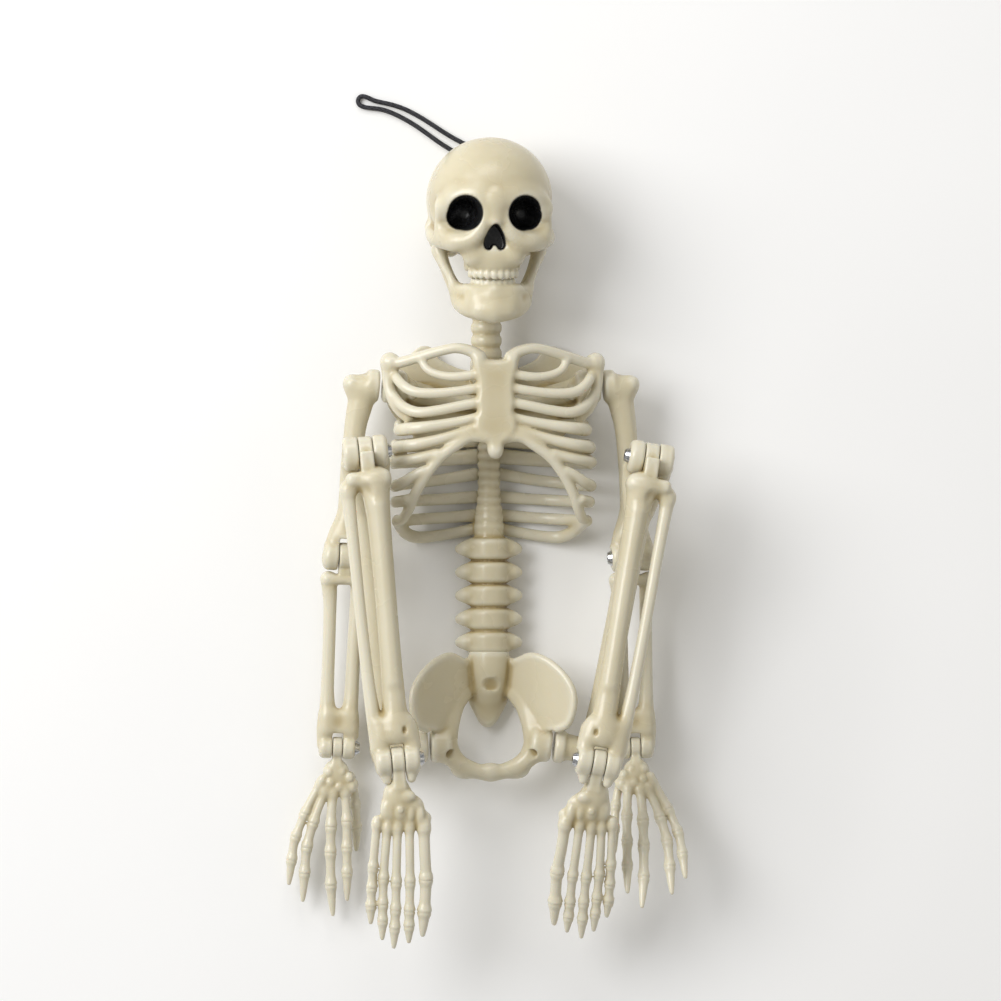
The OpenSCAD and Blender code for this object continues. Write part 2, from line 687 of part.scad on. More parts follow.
module ankle_screw_right() { ankle_screw(-1); }

skull_face();
skull_rear();
jaw();
neck();
hanging_loop();
loop_knot();
rear_torso();
front_rib_cage();
pelvis();
humerus_left();
humerus_right();
forearm_left();
forearm_right();
hand_left();
hand_right();
femur_left();
femur_right();
shin_left();
shin_right();
foot_left();
foot_right();
elbow_screw_left();
elbow_screw_right();
wrist_screw_left();
wrist_screw_right();
knee_screw_left();
knee_screw_right();
ankle_screw_left();
ankle_screw_right();
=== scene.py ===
"""Looks of the posable skeleton figure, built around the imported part.

Every bone is sculpted as a field of distances on a grid ("clay"), in millimetres. A limb bone is
sculpted once, in the frame of the joint that it hangs from, and used for both sides. The bones of
the head and of the trunk are sculpted in the frame of the part, with X from their centre line.
"""
import json
import math

import bpy
import numpy as np
import openvdb
from mathutils import Matrix, Vector


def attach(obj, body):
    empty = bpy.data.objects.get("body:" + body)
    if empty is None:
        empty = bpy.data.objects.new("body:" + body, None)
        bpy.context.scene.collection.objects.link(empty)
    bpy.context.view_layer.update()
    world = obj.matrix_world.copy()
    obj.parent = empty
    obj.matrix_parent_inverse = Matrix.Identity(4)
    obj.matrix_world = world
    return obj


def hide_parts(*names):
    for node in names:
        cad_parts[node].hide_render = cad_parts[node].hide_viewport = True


MM = 0.001
# side as a sign and as a word
SIDES = ((1, "left"), (-1, "right"))

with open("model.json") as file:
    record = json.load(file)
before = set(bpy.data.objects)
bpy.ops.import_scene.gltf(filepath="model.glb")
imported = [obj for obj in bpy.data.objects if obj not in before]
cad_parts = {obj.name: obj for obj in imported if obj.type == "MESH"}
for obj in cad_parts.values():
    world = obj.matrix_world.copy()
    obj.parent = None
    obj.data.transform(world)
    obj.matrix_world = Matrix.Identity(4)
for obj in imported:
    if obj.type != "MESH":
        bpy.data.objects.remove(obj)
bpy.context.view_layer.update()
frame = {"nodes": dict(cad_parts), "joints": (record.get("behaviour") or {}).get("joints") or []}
scene = bpy.context.scene
joints = {joint["name"]: joint for joint in frame["joints"]}


def joint_at(name):
    return np.array(joints[name]["pos_m"]) / MM


def axis_out(name, side):
    """The axis of a joint, pointing away from the middle of the figure."""
    axis = np.array(joints[name]["axis"], float)
    return axis * side * np.sign(axis[0])


# centre lines of the torso and of the head, in millimetres
torso_x = (joint_at("hip_left")[0] + joint_at("hip_right")[0]) / 2
head_x = joint_at("head_turn")[0]

# ---------------------------------------------------------------- camera and light, in metres
CAMERA_AWAY = 3.0
CAMERA_LEAN = -0.09
SEEN_WIDTH = 0.3303
LOOK_AT = Vector(((torso_x + 3.8) * MM, 0.0137, 0.008))


def make_camera():
    data = bpy.data.cameras.new("camera")
    camera = bpy.data.objects.new("camera", data)
    scene.collection.objects.link(camera)
    back = Vector((CAMERA_LEAN, 0, 1)).normalized()
    camera.location = LOOK_AT + back * CAMERA_AWAY
    right = Vector((0, 1, 0)).cross(back).normalized()
    up = back.cross(right)
    camera.rotation_mode = "QUATERNION"
    axes = np.array([right, up, back]).T
    camera.rotation_quaternion = Matrix(axes.tolist()).to_quaternion()
    data.sensor_width = 36
    data.lens = data.sensor_width * CAMERA_AWAY / SEEN_WIDTH
    scene.camera = camera


def area_light(name, at, size, power, colour=(1, 1, 1)):
    data = bpy.data.lights.new(name, "AREA")
    data.shape = "RECTANGLE"
    data.size = size[0]
    data.size_y = size[1]
    data.energy = power
    data.color = colour
    light = bpy.data.objects.new(name, data)
    light.location = at
    light.rotation_mode = "QUATERNION"
    light.rotation_quaternion = (LOOK_AT - Vector(at)).to_track_quat("-Z", "Y")
    scene.collection.objects.link(light)


make_camera()
area_light("key", (-1.0, 0.5, 1.0), (0.9, 0.9), 18)
area_light("top", (-0.2, 1.1, 0.8), (0.8, 0.5), 4)
area_light("fill", (1.0, -0.3, 1.0), (0.9, 0.9), 1.4, (1, 0.92, 0.76))
world = bpy.data.worlds.new("studio")
world.use_nodes = True
world.node_tree.nodes["Background"].inputs["Color"].default_value = (1, 0.99, 0.965, 1)
world.node_tree.nodes["Background"].inputs["Strength"].default_value = 0.37
scene.world = world
scene.view_settings.view_transform = "Standard"


# ---------------------------------------------------------------- materials
def shader(name):
    material = bpy.data.materials.new(name)
    material.use_nodes = True
    tree = material.node_tree
    return material, tree, tree.nodes["Principled BSDF"]


def feed(tree, fed, inputs):
    """Gives a node's inputs their values, or links them to another node's outputs."""
    for key, value in inputs.items():
        if hasattr(value, "is_linked"):
            tree.links.new(value, fed.inputs[key])
        else:
            fed.inputs[key].default_value = value


def node(tree, kind, inputs=None, **settings):
    made = tree.nodes.new(kind)
    for key, value in settings.items():
        setattr(made, key, value)
    feed(tree, made, inputs or {})
    return made


def ramp(tree, factor, stops):
    made = node(tree, "ShaderNodeValToRGB", {"Fac": factor})
    made.color_ramp.interpolation = "EASE"
    elements = made.color_ramp.elements
    while len(elements) < len(stops):
        elements.new(0.5)
    for element, (place, colour) in zip(elements, stops):
        element.position = place
        element.color = (*colour, 1)
    return made.outputs["Color"]


def scaled(tree, value, factor, add=0.0):
    made = node(tree, "ShaderNodeMath", {0: value, 1: factor, 2: add}, operation="MULTIPLY_ADD")
    return made.outputs[0]


def bone_material():
    """Semi-gloss ivory plastic with painted shade, warmer and darker deep in its recesses, and black paint
    where the paint attribute is 1.
    """
    material, tree, bsdf = shader("ivory_plastic")
    place = node(tree, "ShaderNodeTexCoord").outputs["Object"]
    painted_shade = node(tree, "ShaderNodeAttribute", attribute_name="painted_shade").outputs["Fac"]
    paint = node(tree, "ShaderNodeAttribute", attribute_name="paint").outputs["Fac"]
    cloud = node(tree, "ShaderNodeTexNoise", {"Vector": place, "Scale": 60, "Detail": 3}).outputs["Fac"]
    fine = node(tree, "ShaderNodeTexNoise", {"Vector": place, "Scale": 900, "Detail": 2}).outputs["Fac"]
    shaded = node(tree, "ShaderNodeMath", {0: painted_shade, 1: scaled(tree, cloud, 0.16, -0.08)}, operation="ADD")
    # painted shade: light ivory where a point is open, shading to warm dark brown deep in recesses, with a
    # little random tone from the noise
    plastic = ramp(tree, shaded.outputs[0], [
        (0.3, (0.68, 0.64, 0.51)),
        (0.55, (0.60, 0.54, 0.38)),
        (0.8, (0.43, 0.34, 0.17)),
        (1.0, (0.25, 0.18, 0.08)),
    ])
    worn = ramp(tree, fine, [(0.35, (0.008, 0.008, 0.008)), (0.75, (0.03, 0.03, 0.032))])
    colour = node(tree, "ShaderNodeMix", {"Factor": paint, "A": plastic, "B": worn}, data_type="RGBA")
    bump = node(tree, "ShaderNodeBump", {"Height": fine, "Strength": 0.08, "Distance": 0.0003})
    feed(tree, bsdf, {
        "Base Color": colour.outputs["Result"],
        "Roughness": scaled(tree, cloud, 0.16, 0.19),
        "Normal": bump.outputs["Normal"],
        "IOR": 1.5,
        "Subsurface Weight": 0.2,
        "Subsurface Radius": (1.0, 0.7, 0.35),
        "Subsurface Scale": 0.002,
    })
    return material


def zinc_material():
    """Bright zinc plating with faint turning marks."""
    material, tree, bsdf = shader("zinc_plate")
    place = node(tree, "ShaderNodeTexCoord").outputs["Object"]
    grain = node(tree, "ShaderNodeTexNoise", {"Vector": place, "Scale": 1500, "Detail": 2}).outputs["Fac"]
    colour = ramp(tree, grain, [(0.3, (0.42, 0.43, 0.45)), (0.7, (0.72, 0.73, 0.75))])
    rough = scaled(tree, grain, 0.2, 0.12)
    feed(tree, bsdf, {"Base Color": colour, "Roughness": rough, "Metallic": 1})
    return material


def elastic_material():
    """Black braided cord: two crossed diagonal weaves along the cord."""
    material, tree, bsdf = shader("braided_elastic")
    place = node(tree, "ShaderNodeTexCoord").outputs["Object"]
    weave = node(tree, "ShaderNodeTexWave", {"Vector": place, "Scale": 420, "Distortion": 1.5},
                 bands_direction="DIAGONAL").outputs["Fac"]
    cross = node(tree, "ShaderNodeTexVoronoi", {"Vector": place, "Scale": 1700}).outputs["Distance"]
    braid = node(tree, "ShaderNodeMath", {0: weave, 1: cross}, operation="ADD").outputs[0]
    colour = ramp(tree, braid, [(0.2, (0.006, 0.006, 0.008)), (1.0, (0.035, 0.035, 0.042))])
    bump = node(tree, "ShaderNodeBump", {"Height": braid, "Strength": 0.7, "Distance": 0.0003})
    feed(tree, bsdf, {"Base Color": colour, "Roughness": 0.75, "Normal": bump.outputs["Normal"]})
    return material


def floor_material():
    material, tree, bsdf = shader("pale_floor")
    place = node(tree, "ShaderNodeTexCoord").outputs["Object"]
    grain = node(tree, "ShaderNodeTexNoise", {"Vector": place, "Scale": 6}).outputs["Fac"]
    colour = ramp(tree, grain, [(0.3, (0.93, 0.93, 0.93)), (0.7, (0.95, 0.95, 0.95))])
    feed(tree, bsdf, {"Base Color": colour, "Roughness": 0.9})
    return material


BONE = bone_material()
ZINC = zinc_material()
ELASTIC = elastic_material()


def make_floor():
    mesh = bpy.data.meshes.new("floor")
    far = 3
    corners = [(-far, -far, 0), (far, -far, 0), (far, far, 0), (-far, far, 0)]
    mesh.from_pydata(corners, [], [(0, 1, 2, 3)])
    floor = bpy.data.objects.new("floor", mesh)
    scene.collection.objects.link(floor)
    mesh.materials.append(floor_material())


make_floor()


# ---------------------------------------------------------------- solids, in millimetres
class Solid:
    """A shape given by its box and by the distance of any points to its surface, negative inside."""

    def __init__(self, low, high, distance):
        self.low = np.array(low, float)
        self.high = np.array(high, float)
        self.distance = distance

    def moved(self, at, turn=(0, 0, 0)):
        """The solid turned about X, then Y, then Z, in degrees, and placed with its origin at a point."""
        matrix = turning(turn)
        at = np.array(at, float)
        corners = np.array([[x, y, z] for x in (self.low[0], self.high[0])
                            for y in (self.low[1], self.high[1]) for z in (self.low[2], self.high[2])])
        corners = corners @ matrix.T + at
        return Solid(corners.min(0), corners.max(0), lambda p: self.distance((p - at) @ matrix))


def turning(turn):
    matrix = np.eye(3)
    for axis, angle in enumerate(turn):
        c = math.cos(math.radians(angle))
        s = math.sin(math.radians(angle))
        step = np.eye(3)
        i, j = (axis + 1) % 3, (axis + 2) % 3
        step[i, i], step[i, j], step[j, i], step[j, j] = c, -s, s, c
        matrix = step @ matrix
    return matrix


def ball(centre, radius):
    """A ball, or an ellipsoid where radius is three numbers."""
    centre = np.array(centre, float)
    radius = np.ones(3) * np.array(radius, float)

    def distance(p):
        q = (p - centre) / radius
        far = np.linalg.norm(q, axis=-1)
        slope = np.linalg.norm(q / radius, axis=-1) + 1e-6
        return far * (far - 1) / slope
    return Solid(centre - radius, centre + radius, distance)


def bar(a, b, wide=1.0):
    """A round bar between two rows of x, y, z and radius, made wider along Y by a factor."""
    a = np.array(a, float)
    b = np.array(b, float)
    grow = max(a[3], b[3]) * max(1, wide)

    def distance(p):
        v = p - a[:3]
        line = b[:3] - a[:3]
        t = np.clip((v @ line) / max(line @ line, 1e-9), 0, 1)
        v = v - t[..., None] * line
        v[..., 1] /= wide
        return np.sqrt((v * v).sum(-1)) - (a[3] + (b[3] - a[3]) * t)
    return Solid(np.minimum(a, b)[:3] - grow, np.maximum(a, b)[:3] + grow, distance)


def drum(a, b, radius, edge):
    """A round disc or post from point a to point b, with rounded edges."""
    a = np.array(a, float)
    b = np.array(b, float)
    half = np.linalg.norm(b - a) / 2
    along = (b - a) / (2 * half)
    middle = (a + b) / 2
    grow = radius * np.sqrt(np.clip(1 - along ** 2, 0, 1)) + half * abs(along)

    def distance(p):
        v = p - middle
        up = v @ along
        out = np.sqrt(np.maximum((v * v).sum(-1) - up * up, 0)) - radius + edge
        up = abs(up) - half + edge
        outside = np.sqrt(np.maximum(out, 0) ** 2 + np.maximum(up, 0) ** 2)
        return outside + np.minimum(np.maximum(out, up), 0) - edge
    return Solid(middle - grow, middle + grow, distance)


def slab(centre, half, edge):
    """A box with rounded edges."""
    centre = np.array(centre, float)
    half = np.array(half, float)

    def distance(p):
        q = abs(p - centre) - half + edge
        outside = np.sqrt((np.maximum(q, 0) ** 2).sum(-1))
        return outside + np.minimum(q.max(-1), 0) - edge
    return Solid(centre - half, centre + half, distance)


def sheet(outline, height, thick, edge=0.5):
    """A plate over a rounded outline in XY, half its thickness each side of height(x, y)."""
    outline = smooth_line([*outline, outline[0]], 3)[:-1]
    ring_x, ring_y = outline.T
    levels = height(ring_x, ring_y)
    # room for heights beyond those on the outline, and for the slope of the plate
    sag = 2.0
    slope_share = 0.85

    def distance(p):
        # on a grid, one layer of points is enough to measure from the outline
        plan = p[:, :, :1] if p.ndim == 4 else p
        x, y = plan[..., 0], plan[..., 1]
        near = np.full(x.shape, 1e9)
        inside = np.zeros(x.shape, bool)
        for (ax, ay), (bx, by) in zip(outline, np.roll(outline, -1, 0)):
            ex, ey = bx - ax, by - ay
            t = np.clip(((x - ax) * ex + (y - ay) * ey) / (ex * ex + ey * ey), 0, 1)
            near = np.minimum(near, (x - ax - t * ex) ** 2 + (y - ay - t * ey) ** 2)
            crosses = (ay > y) != (by > y)
            left = x < ax + (y - ay) / (ey if ey else 1e-9) * ex
            inside ^= crosses & left
        flat = np.where(inside, -1, 1) * np.sqrt(near) + edge
        up = abs(p[..., 2] - height(x, y)) * slope_share - thick / 2 + edge
        outside = np.sqrt(np.maximum(flat, 0) ** 2 + np.maximum(up, 0) ** 2)
        return outside + np.minimum(np.maximum(flat, up), 0) - edge
    low = [ring_x.min(), ring_y.min(), levels.min() - thick - sag]
    high = [ring_x.max(), ring_y.max(), levels.max() + thick + sag]
    return Solid(low, high, distance)


def smooth_line(rows, steps):
    """A smooth curve through rows of numbers, with a number of steps from each row to the next."""
    rows = np.array(rows, float)
    ends = np.vstack([2 * rows[0] - rows[1], rows, 2 * rows[-1] - rows[-2]])
    made = []
    for before, a, b, after in zip(ends, ends[1:], ends[2:], ends[3:]):
        for t in np.arange(steps) / steps:
            made.append(0.5 * (2 * a + (b - before) * t + (2 * before - 5 * a + 4 * b - after) * t ** 2
                               + (3 * a - before - 3 * b + after) * t ** 3))
    made.append(rows[-1])
    return np.array(made)


# Field value far from every solid, and how far around a solid the field is worked out
FAR = 4.0
REACH = 3.0
# Painted shade: a point is darkened by the share of material in a small and in a large box, this far each
# way around it
SMALL_BOX = 1.8
LARGE_BOX = 3.6
# Paint goes this far past the solid that it fills, and fades over this distance
PAINT_PAST = 0.45
PAINT_FADE = 0.3


class Clay:
    """A lump of bone on a grid: solids are joined to it and cut from it, and it becomes one mesh."""

    def __init__(self, low, high, step):
        self.step = step
        self.low = np.array(low, float)
        cells = np.ceil((np.array(high, float) - self.low) / step).astype(int) + 1
        self.field = np.full(cells, FAR, np.float32)
        self.painted = []

    def window(self, low, high):
        """The part of the grid around a box, and the points in it."""
        size = np.array(self.field.shape)
        first = np.floor((np.array(low) - REACH - self.low) / self.step).astype(int)
        last = np.ceil((np.array(high) + REACH - self.low) / self.step).astype(int) + 1
        first = np.clip(first, 0, size)
        last = np.clip(last, first, size)
        axes = [self.low[k] + self.step * np.arange(first[k], last[k]) for k in range(3)]
        place = tuple(slice(a, b) for a, b in zip(first, last))
        return place, np.stack(np.meshgrid(*axes, indexing="ij"), -1)

    def join(self, place, other, blend):
        self.field[place] = smooth_min(self.field[place], other, blend)

    def add(self, solid, blend=1.0):
        place, points = self.window(solid.low, solid.high)
        self.join(place, solid.distance(points), blend)

    def cut(self, solid, blend=0.5, paint=False):
        place, points = self.window(solid.low, solid.high)
        self.field[place] = -smooth_min(-self.field[place], solid.distance(points), blend)
        if paint:
            self.painted.append(solid)

    def strand(self, rows, blend=1.0, steps=4, wide=1.0, side=1):
        """A smooth round strand through rows of x, y, z and radius, with X turned round for side -1."""
        line = smooth_line(rows, steps) * (side, 1, 1, 1)
        grow = line[:, 3:].max() * max(1, wide)
        place, points = self.window(line[:, :3].min(0) - grow, line[:, :3].max(0) + grow)
        rope = np.full(points.shape[:3], FAR)
        start = points[0, 0, 0]
        for a, b in zip(line, line[1:]):
            piece = bar(a, b, wide)
            first = np.clip(np.floor((piece.low - REACH - start) / self.step).astype(int), 0, None)
            last = np.clip(np.ceil((piece.high + REACH - start) / self.step).astype(int) + 1, 0, None)
            part = tuple(slice(i, j) for i, j in zip(first, last))
            rope[part] = np.minimum(rope[part], piece.distance(points[part]))
        self.join(place, rope, blend)

    def keep(self, axis, level, above):
        """Cuts everything away on one side of a plane."""
        size = [1, 1, 1]
        size[axis] = -1
        line = (self.low[axis] + self.step * np.arange(self.field.shape[axis]) - level).reshape(size)
        self.field = np.maximum(self.field, -line if above else line).astype(np.float32)

    def mesh(self, name, stand):
        """The clay as a mesh in metres, moved by its stand into the frame of the part."""
        grid = openvdb.FloatGrid(background=FAR)
        grid.copyFromArray(self.field)
        cells, _, quads = grid.convertToPolygons(isovalue=0.0, adaptivity=0.0)
        cells = settled(self.field, cells.astype(float))
        points = self.low + cells * self.step
        filled = np.clip(0.5 - self.field / self.step, 0, 1)
        hollow = sampled(blurred(filled, round(SMALL_BOX / self.step)), cells)
        wide = sampled(blurred(filled, round(LARGE_BOX / self.step)), cells)
        # painted shade, more where a point is hemmed in by material, stored on the mesh to darken its
        # colour
        painted_shade = np.clip(0.45 + 1.1 * (hollow - 0.42) + 0.7 * (wide - 0.36), 0, 1)
        paint = np.zeros(len(points))
        for solid in self.painted:
            near = (PAINT_PAST - solid.distance(points)) / PAINT_FADE
            paint = np.maximum(paint, np.clip(near, 0, 1))
        faces = quads if stand.side < 0 else quads[:, ::-1]
        data = bpy.data.meshes.new(name)
        data.from_pydata((stand.out(points) * MM).tolist(), [], faces.tolist())
        for key, values in (("painted_shade", painted_shade), ("paint", paint)):
            attribute = data.attributes.new(key, "FLOAT", "POINT")
            attribute.data.foreach_set("value", values.astype(np.float32))
        data.shade_smooth()
        return data


def smooth_min(a, b, blend):
    lap = np.maximum(blend - abs(a - b), 0)
    return np.minimum(a, b) - lap * lap / (4 * blend)


def sampled(field, cells):
    """Values of a field between its grid points."""
    size = np.array(field.shape)
    cells = np.clip(cells, 0, size - 1.001)
    base = cells.astype(int)
    part = cells - base
    value = np.zeros(len(cells))
    for corner in range(8):
        bits = np.array([corner >> 2 & 1, corner >> 1 & 1, corner & 1])
        share = np.prod(np.where(bits, part, 1 - part), 1)
        i, j, k = (base + bits).T
        value += share * field[i, j, k]
    return value


def settled(field, cells):
    """Mesh points moved onto the surface of the field, in two rounds."""
    reach = 0.6
    for _ in range(2):
        slope = np.stack([sampled(field, cells + reach * axis) - sampled(field, cells - reach * axis)
                          for axis in np.eye(3)], -1) / (2 * reach)
        steep = (slope * slope).sum(-1) + 1e-6
        move = -(sampled(field, cells) / steep)[:, None] * slope
        cells = cells + np.clip(move, -0.5, 0.5)
    return cells


def blurred(values, reach):
    """Mean of the values in a box of reach cells each way."""
    for axis in range(3):
        padded = np.concatenate([np.zeros_like(values.take([0], axis)), np.cumsum(values, axis)], axis)
        count = values.shape[axis]
        low = np.clip(np.arange(count) - reach, 0, count)
        high = np.clip(np.arange(count) + reach + 1, 0, count)
        values = (padded.take(high, axis) - padded.take(low, axis)) / (2 * reach + 1)
    return values


class Stand:
    """The frame of a limb: its joint, and unit vectors sideways, back up the limb, and to its front.

    The last two are tilted by bend degrees about the first.
    """

    def __init__(self, side, origin, sideways, up, bend=0):
        self.side = side
        self.origin = np.array(origin, float)
        self.x = unit(sideways)
        up = unit(up - (up @ self.x) * self.x)
        front = side * np.cross(self.x, up)
        c = math.cos(math.radians(bend))
        s = math.sin(math.radians(bend))
        self.y = c * up + s * front
        self.z = c * front - s * up
        self.axes = np.array([self.x, self.y, self.z])

    def out(self, points):
        return self.origin + points @ self.axes


def level(z):
    """The height of a flat plate."""
    return lambda x, y: np.full(np.shape(x), float(z))


def unit(v):
    v = np.array(v, float)
    return v / np.linalg.norm(v)


class Figure:
    """The frame of the torso or of the head: upright, with its own centre line."""

    side = 1

    def __init__(self, x):
        self.origin = np.array([x, 0, 0])

    def out(self, points):
        return points + self.origin


def show(name, data, body, stands_for, material):
    piece = bpy.data.objects.new(name, data)
    scene.collection.objects.link(piece)
    data.materials.append(material)
    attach(piece, body)
    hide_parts(*stands_for)
    return piece


def show_bone(clay, name, body, stand):
    return show("bone_" + name, clay.mesh("bone_" + name, stand), body, [name], BONE)


# ---------------------------------------------------------------- hinges, as the part has them
# ear thickness, gap in the fork, radius of the round ends
ELBOW = (4.4, 4.6, 4.9)
WRIST = (4.0, 3.6, 3.8)
KNEE = (4.6, 5.0, 5.6)
ANKLE = (4.8, 4.6, 4.8)
PIVOT_GAP = 1.0
SIDE_PLAY = 0.25
SCREW_R = 1.25
# how far the hands and feet are bent at rest, in degrees, by the sign of their side
WRIST_BEND = {1: 24, -1: 0}
FOOT_DROOP = {1: 22, -1: 8}
UPPER_ARM = 57.0
FOREARM = 63.0
THIGH = 100.5
SHIN = 101.0
SHOULDER_OUT = 7.0
THIGH_OUT = 14.0
ANKLE_SHIFT = (-1.5, 2.0)
# a limb starts this far out from its shoulder or hip joint
SEAT = 0.45
# a tongue's round end is smaller than the fork's ears by this
TONGUE_LESS = 0.35


def mirrored(points):
    return [(-p[0], *p[1:]) for p in points]


def closed_by_mirror(half):
    """A whole outline, from the points of its right half."""
    return [*half, *mirrored(half[::-1])]


def ear_pair(clay, centre, size, edge, grow):
    """The two round ears of a fork about a pivot, with the edge rounding of each."""
    x, y, z = centre
    thick, gap, radius = size
    for s, rounding in zip((-1, 1), edge):
        near = x + s * (gap / 2 - 0.8)
        far = x + s * (gap / 2 + thick + grow)
        clay.add(drum((near, y, z), (far, y, z), radius - 0.1, rounding), 0.8)


def open_fork(clay, centre, size, shorten=0.0):
    """The gap between a fork's ears, and the hole of its screw with a flat seat for the head."""
    x, y, z = centre
    thick, gap, radius = size
    top = radius + PIVOT_GAP - shorten
    low = radius + 6
    deep = 14
    clay.cut(slab((x, y + (top - low) / 2, z), (gap / 2, (top + low) / 2, deep), 0.3), 0.3)
    face = x - gap / 2 - thick
    clay.cut(drum((face - 3, y, z), (x, y, z), SCREW_R + 0.15, 0.1), 0.2)
    clay.cut(drum((face - 6, y, z), (face, y, z), 2 * SCREW_R + 0.7, 0.1), 0.3)


def tongue_end(clay, size, edge=0.5):
    """The round end of a tongue, which turns in a fork. Returns half its thickness."""
    half = size[1] / 2 - SIDE_PLAY
    clay.add(drum((-half, 0, 0), (half, 0, 0), size[2] - TONGUE_LESS, edge), 0.3)
    return half


def tongue(clay, size, arm, low, high):
    """A tongue with an arm from the low to the high level."""
    half = tongue_end(clay, size)
    clay.add(slab((0, -arm / 2, (low + high) / 2), (half, arm / 2, (high - low) / 2), 0.5), 0.3)


# ---------------------------------------------------------------- arms
def humerus():
    clay = Clay((-3, -66, -9), (16, 9, 9), 0.4)
    x = SHOULDER_OUT
    end = -UPPER_ARM
    clay.add(drum((SEAT, 0, 0), (4.6, 0, 0), 5.1, 1.1))
    clay.add(bar((3.6, -0.4, 0, 4.4), (8, -1.2, 0, 3.9)), 1.5)
    clay.add(ball((9.9, 0.2, 0.6), (2.5, 2.5, 3.0)), 1.6)
    clay.strand([(5.4, -2, 0, 4.5), (6.4, -8, 0, 4.1), (7.2, -15, 0, 3.6), (7.5, -28, 0, 3.4),
                 (7.3, -40, 0, 3.4), (x, -47, 0, 3.8), (x, -50, 0, 4.2)], 2)
    for s in (-1, 1):
        clay.strand([(x + s * 0.8, -44, 0, 2.8), (x + s * 2.6, -49, 0, 3.2),
                     (x + s * 4.2, -54, 0, 2.9)], 1.5)
    ear_pair(clay, (x, end, 0), ELBOW, (1.5, 1.8), 0.3)
    clay.add(ball((x + 5.4, end - 0.8, 1.2), (2.2, 3.2, 2.8)), 1.5)
    open_fork(clay, (x, end, 0), ELBOW)
    clay.cut(ball((6.6, 5.2, 1.5), (2.2, 1.6, 3)), 1.5)
    clay.cut(drum((-6, 0, 0), (SEAT, 0, 0), 9, 0.1), 0.2)
    return clay


def forearm():
    clay = Clay((-9, -70, -8), (9, 7, 8), 0.4)
    top = ELBOW[2] + PIVOT_GAP
    end = -FOREARM
    clay.add(slab((0, -top - 1.7, 0), (7.3, 1.7, 3.1), 1.5))
    for s, r in ((1, 2.1), (-1, 2.25)):
        clay.strand([(5.2, -7.6, 0, 2.6), (4.7, -11, 0, 2.5), (4.3, -17, 0, 2.15), (4.1, -30, 0, r),
                     (4.0, -44, 0, r + 0.1), (3.7, -51, 0, 2.7), (3.4, -56, 0, 3.0)], 1.2, side=s)
    clay.add(slab((0, -54.6, 0), (5.4, 4.2, 2.9), 2), 2)
    for s in (-1, 1):
        clay.strand([(3.6, -53, 0, 2.7), (4.2, -58, 0, 2.7), (4.3, -62, 0, 2.4)], 1.5, side=s)
    ear_pair(clay, (0, end, 0), WRIST, (1.7, 1.7), 0.2)
    open_fork(clay, (0, end, 0), WRIST)
    tongue(clay, ELBOW, top + 2.5, -2.7, 2.7)
    clay.cut(ball((0, -11.2, 3.6), (2.2, 2.6, 1.6)), 1.2)
    return clay


def digit(clay, path, knuckles, radius, tip):
    """A finger or toe along points, with a bulge at each knuckle and a groove at all but the first."""
    line = smooth_line(path, 10)
    run = np.concatenate([[0], np.cumsum(np.linalg.norm(np.diff(line, axis=0), axis=1))])
    t = run / run[-1]
    thin = radius * 0.74
    bulge = 0.045
    r = np.full(len(t), thin)
    for k in knuckles:
        r = r + (radius - thin) * np.exp(-((t - k) / bulge) ** 2)
    fade = np.clip((t - knuckles[-1]) / (1 - knuckles[-1]), 0, 1)
    r = r * (1 - fade) + (thin * (1 - fade) + tip * fade) * fade
    rows = np.column_stack([line, r])
    clay.strand(rows, 0.8, 1)
    groove_half = 0.16
    groove_deep = 0.14
    for k in knuckles[1:]:
        at = np.array([np.interp(k, t, line[:, axis]) for axis in range(3)])
        ahead = np.array([np.interp(k + 0.02, t, line[:, axis]) for axis in range(3)])
        way = unit(ahead - at)
        ring = at + way * 0.25
        groove = drum(ring - way * groove_half, ring + way * groove_half, radius + 0.6, 0.1)
        core_r = radius * (1 - groove_deep)
        core = bar((*(ring - way), core_r), (*(ring + way), core_r))
        groove_only = Solid(groove.low, groove.high,
                            lambda p, g=groove, c=core: np.maximum(g.distance(p), -c.distance(p)))
        clay.cut(groove_only, 0.3)


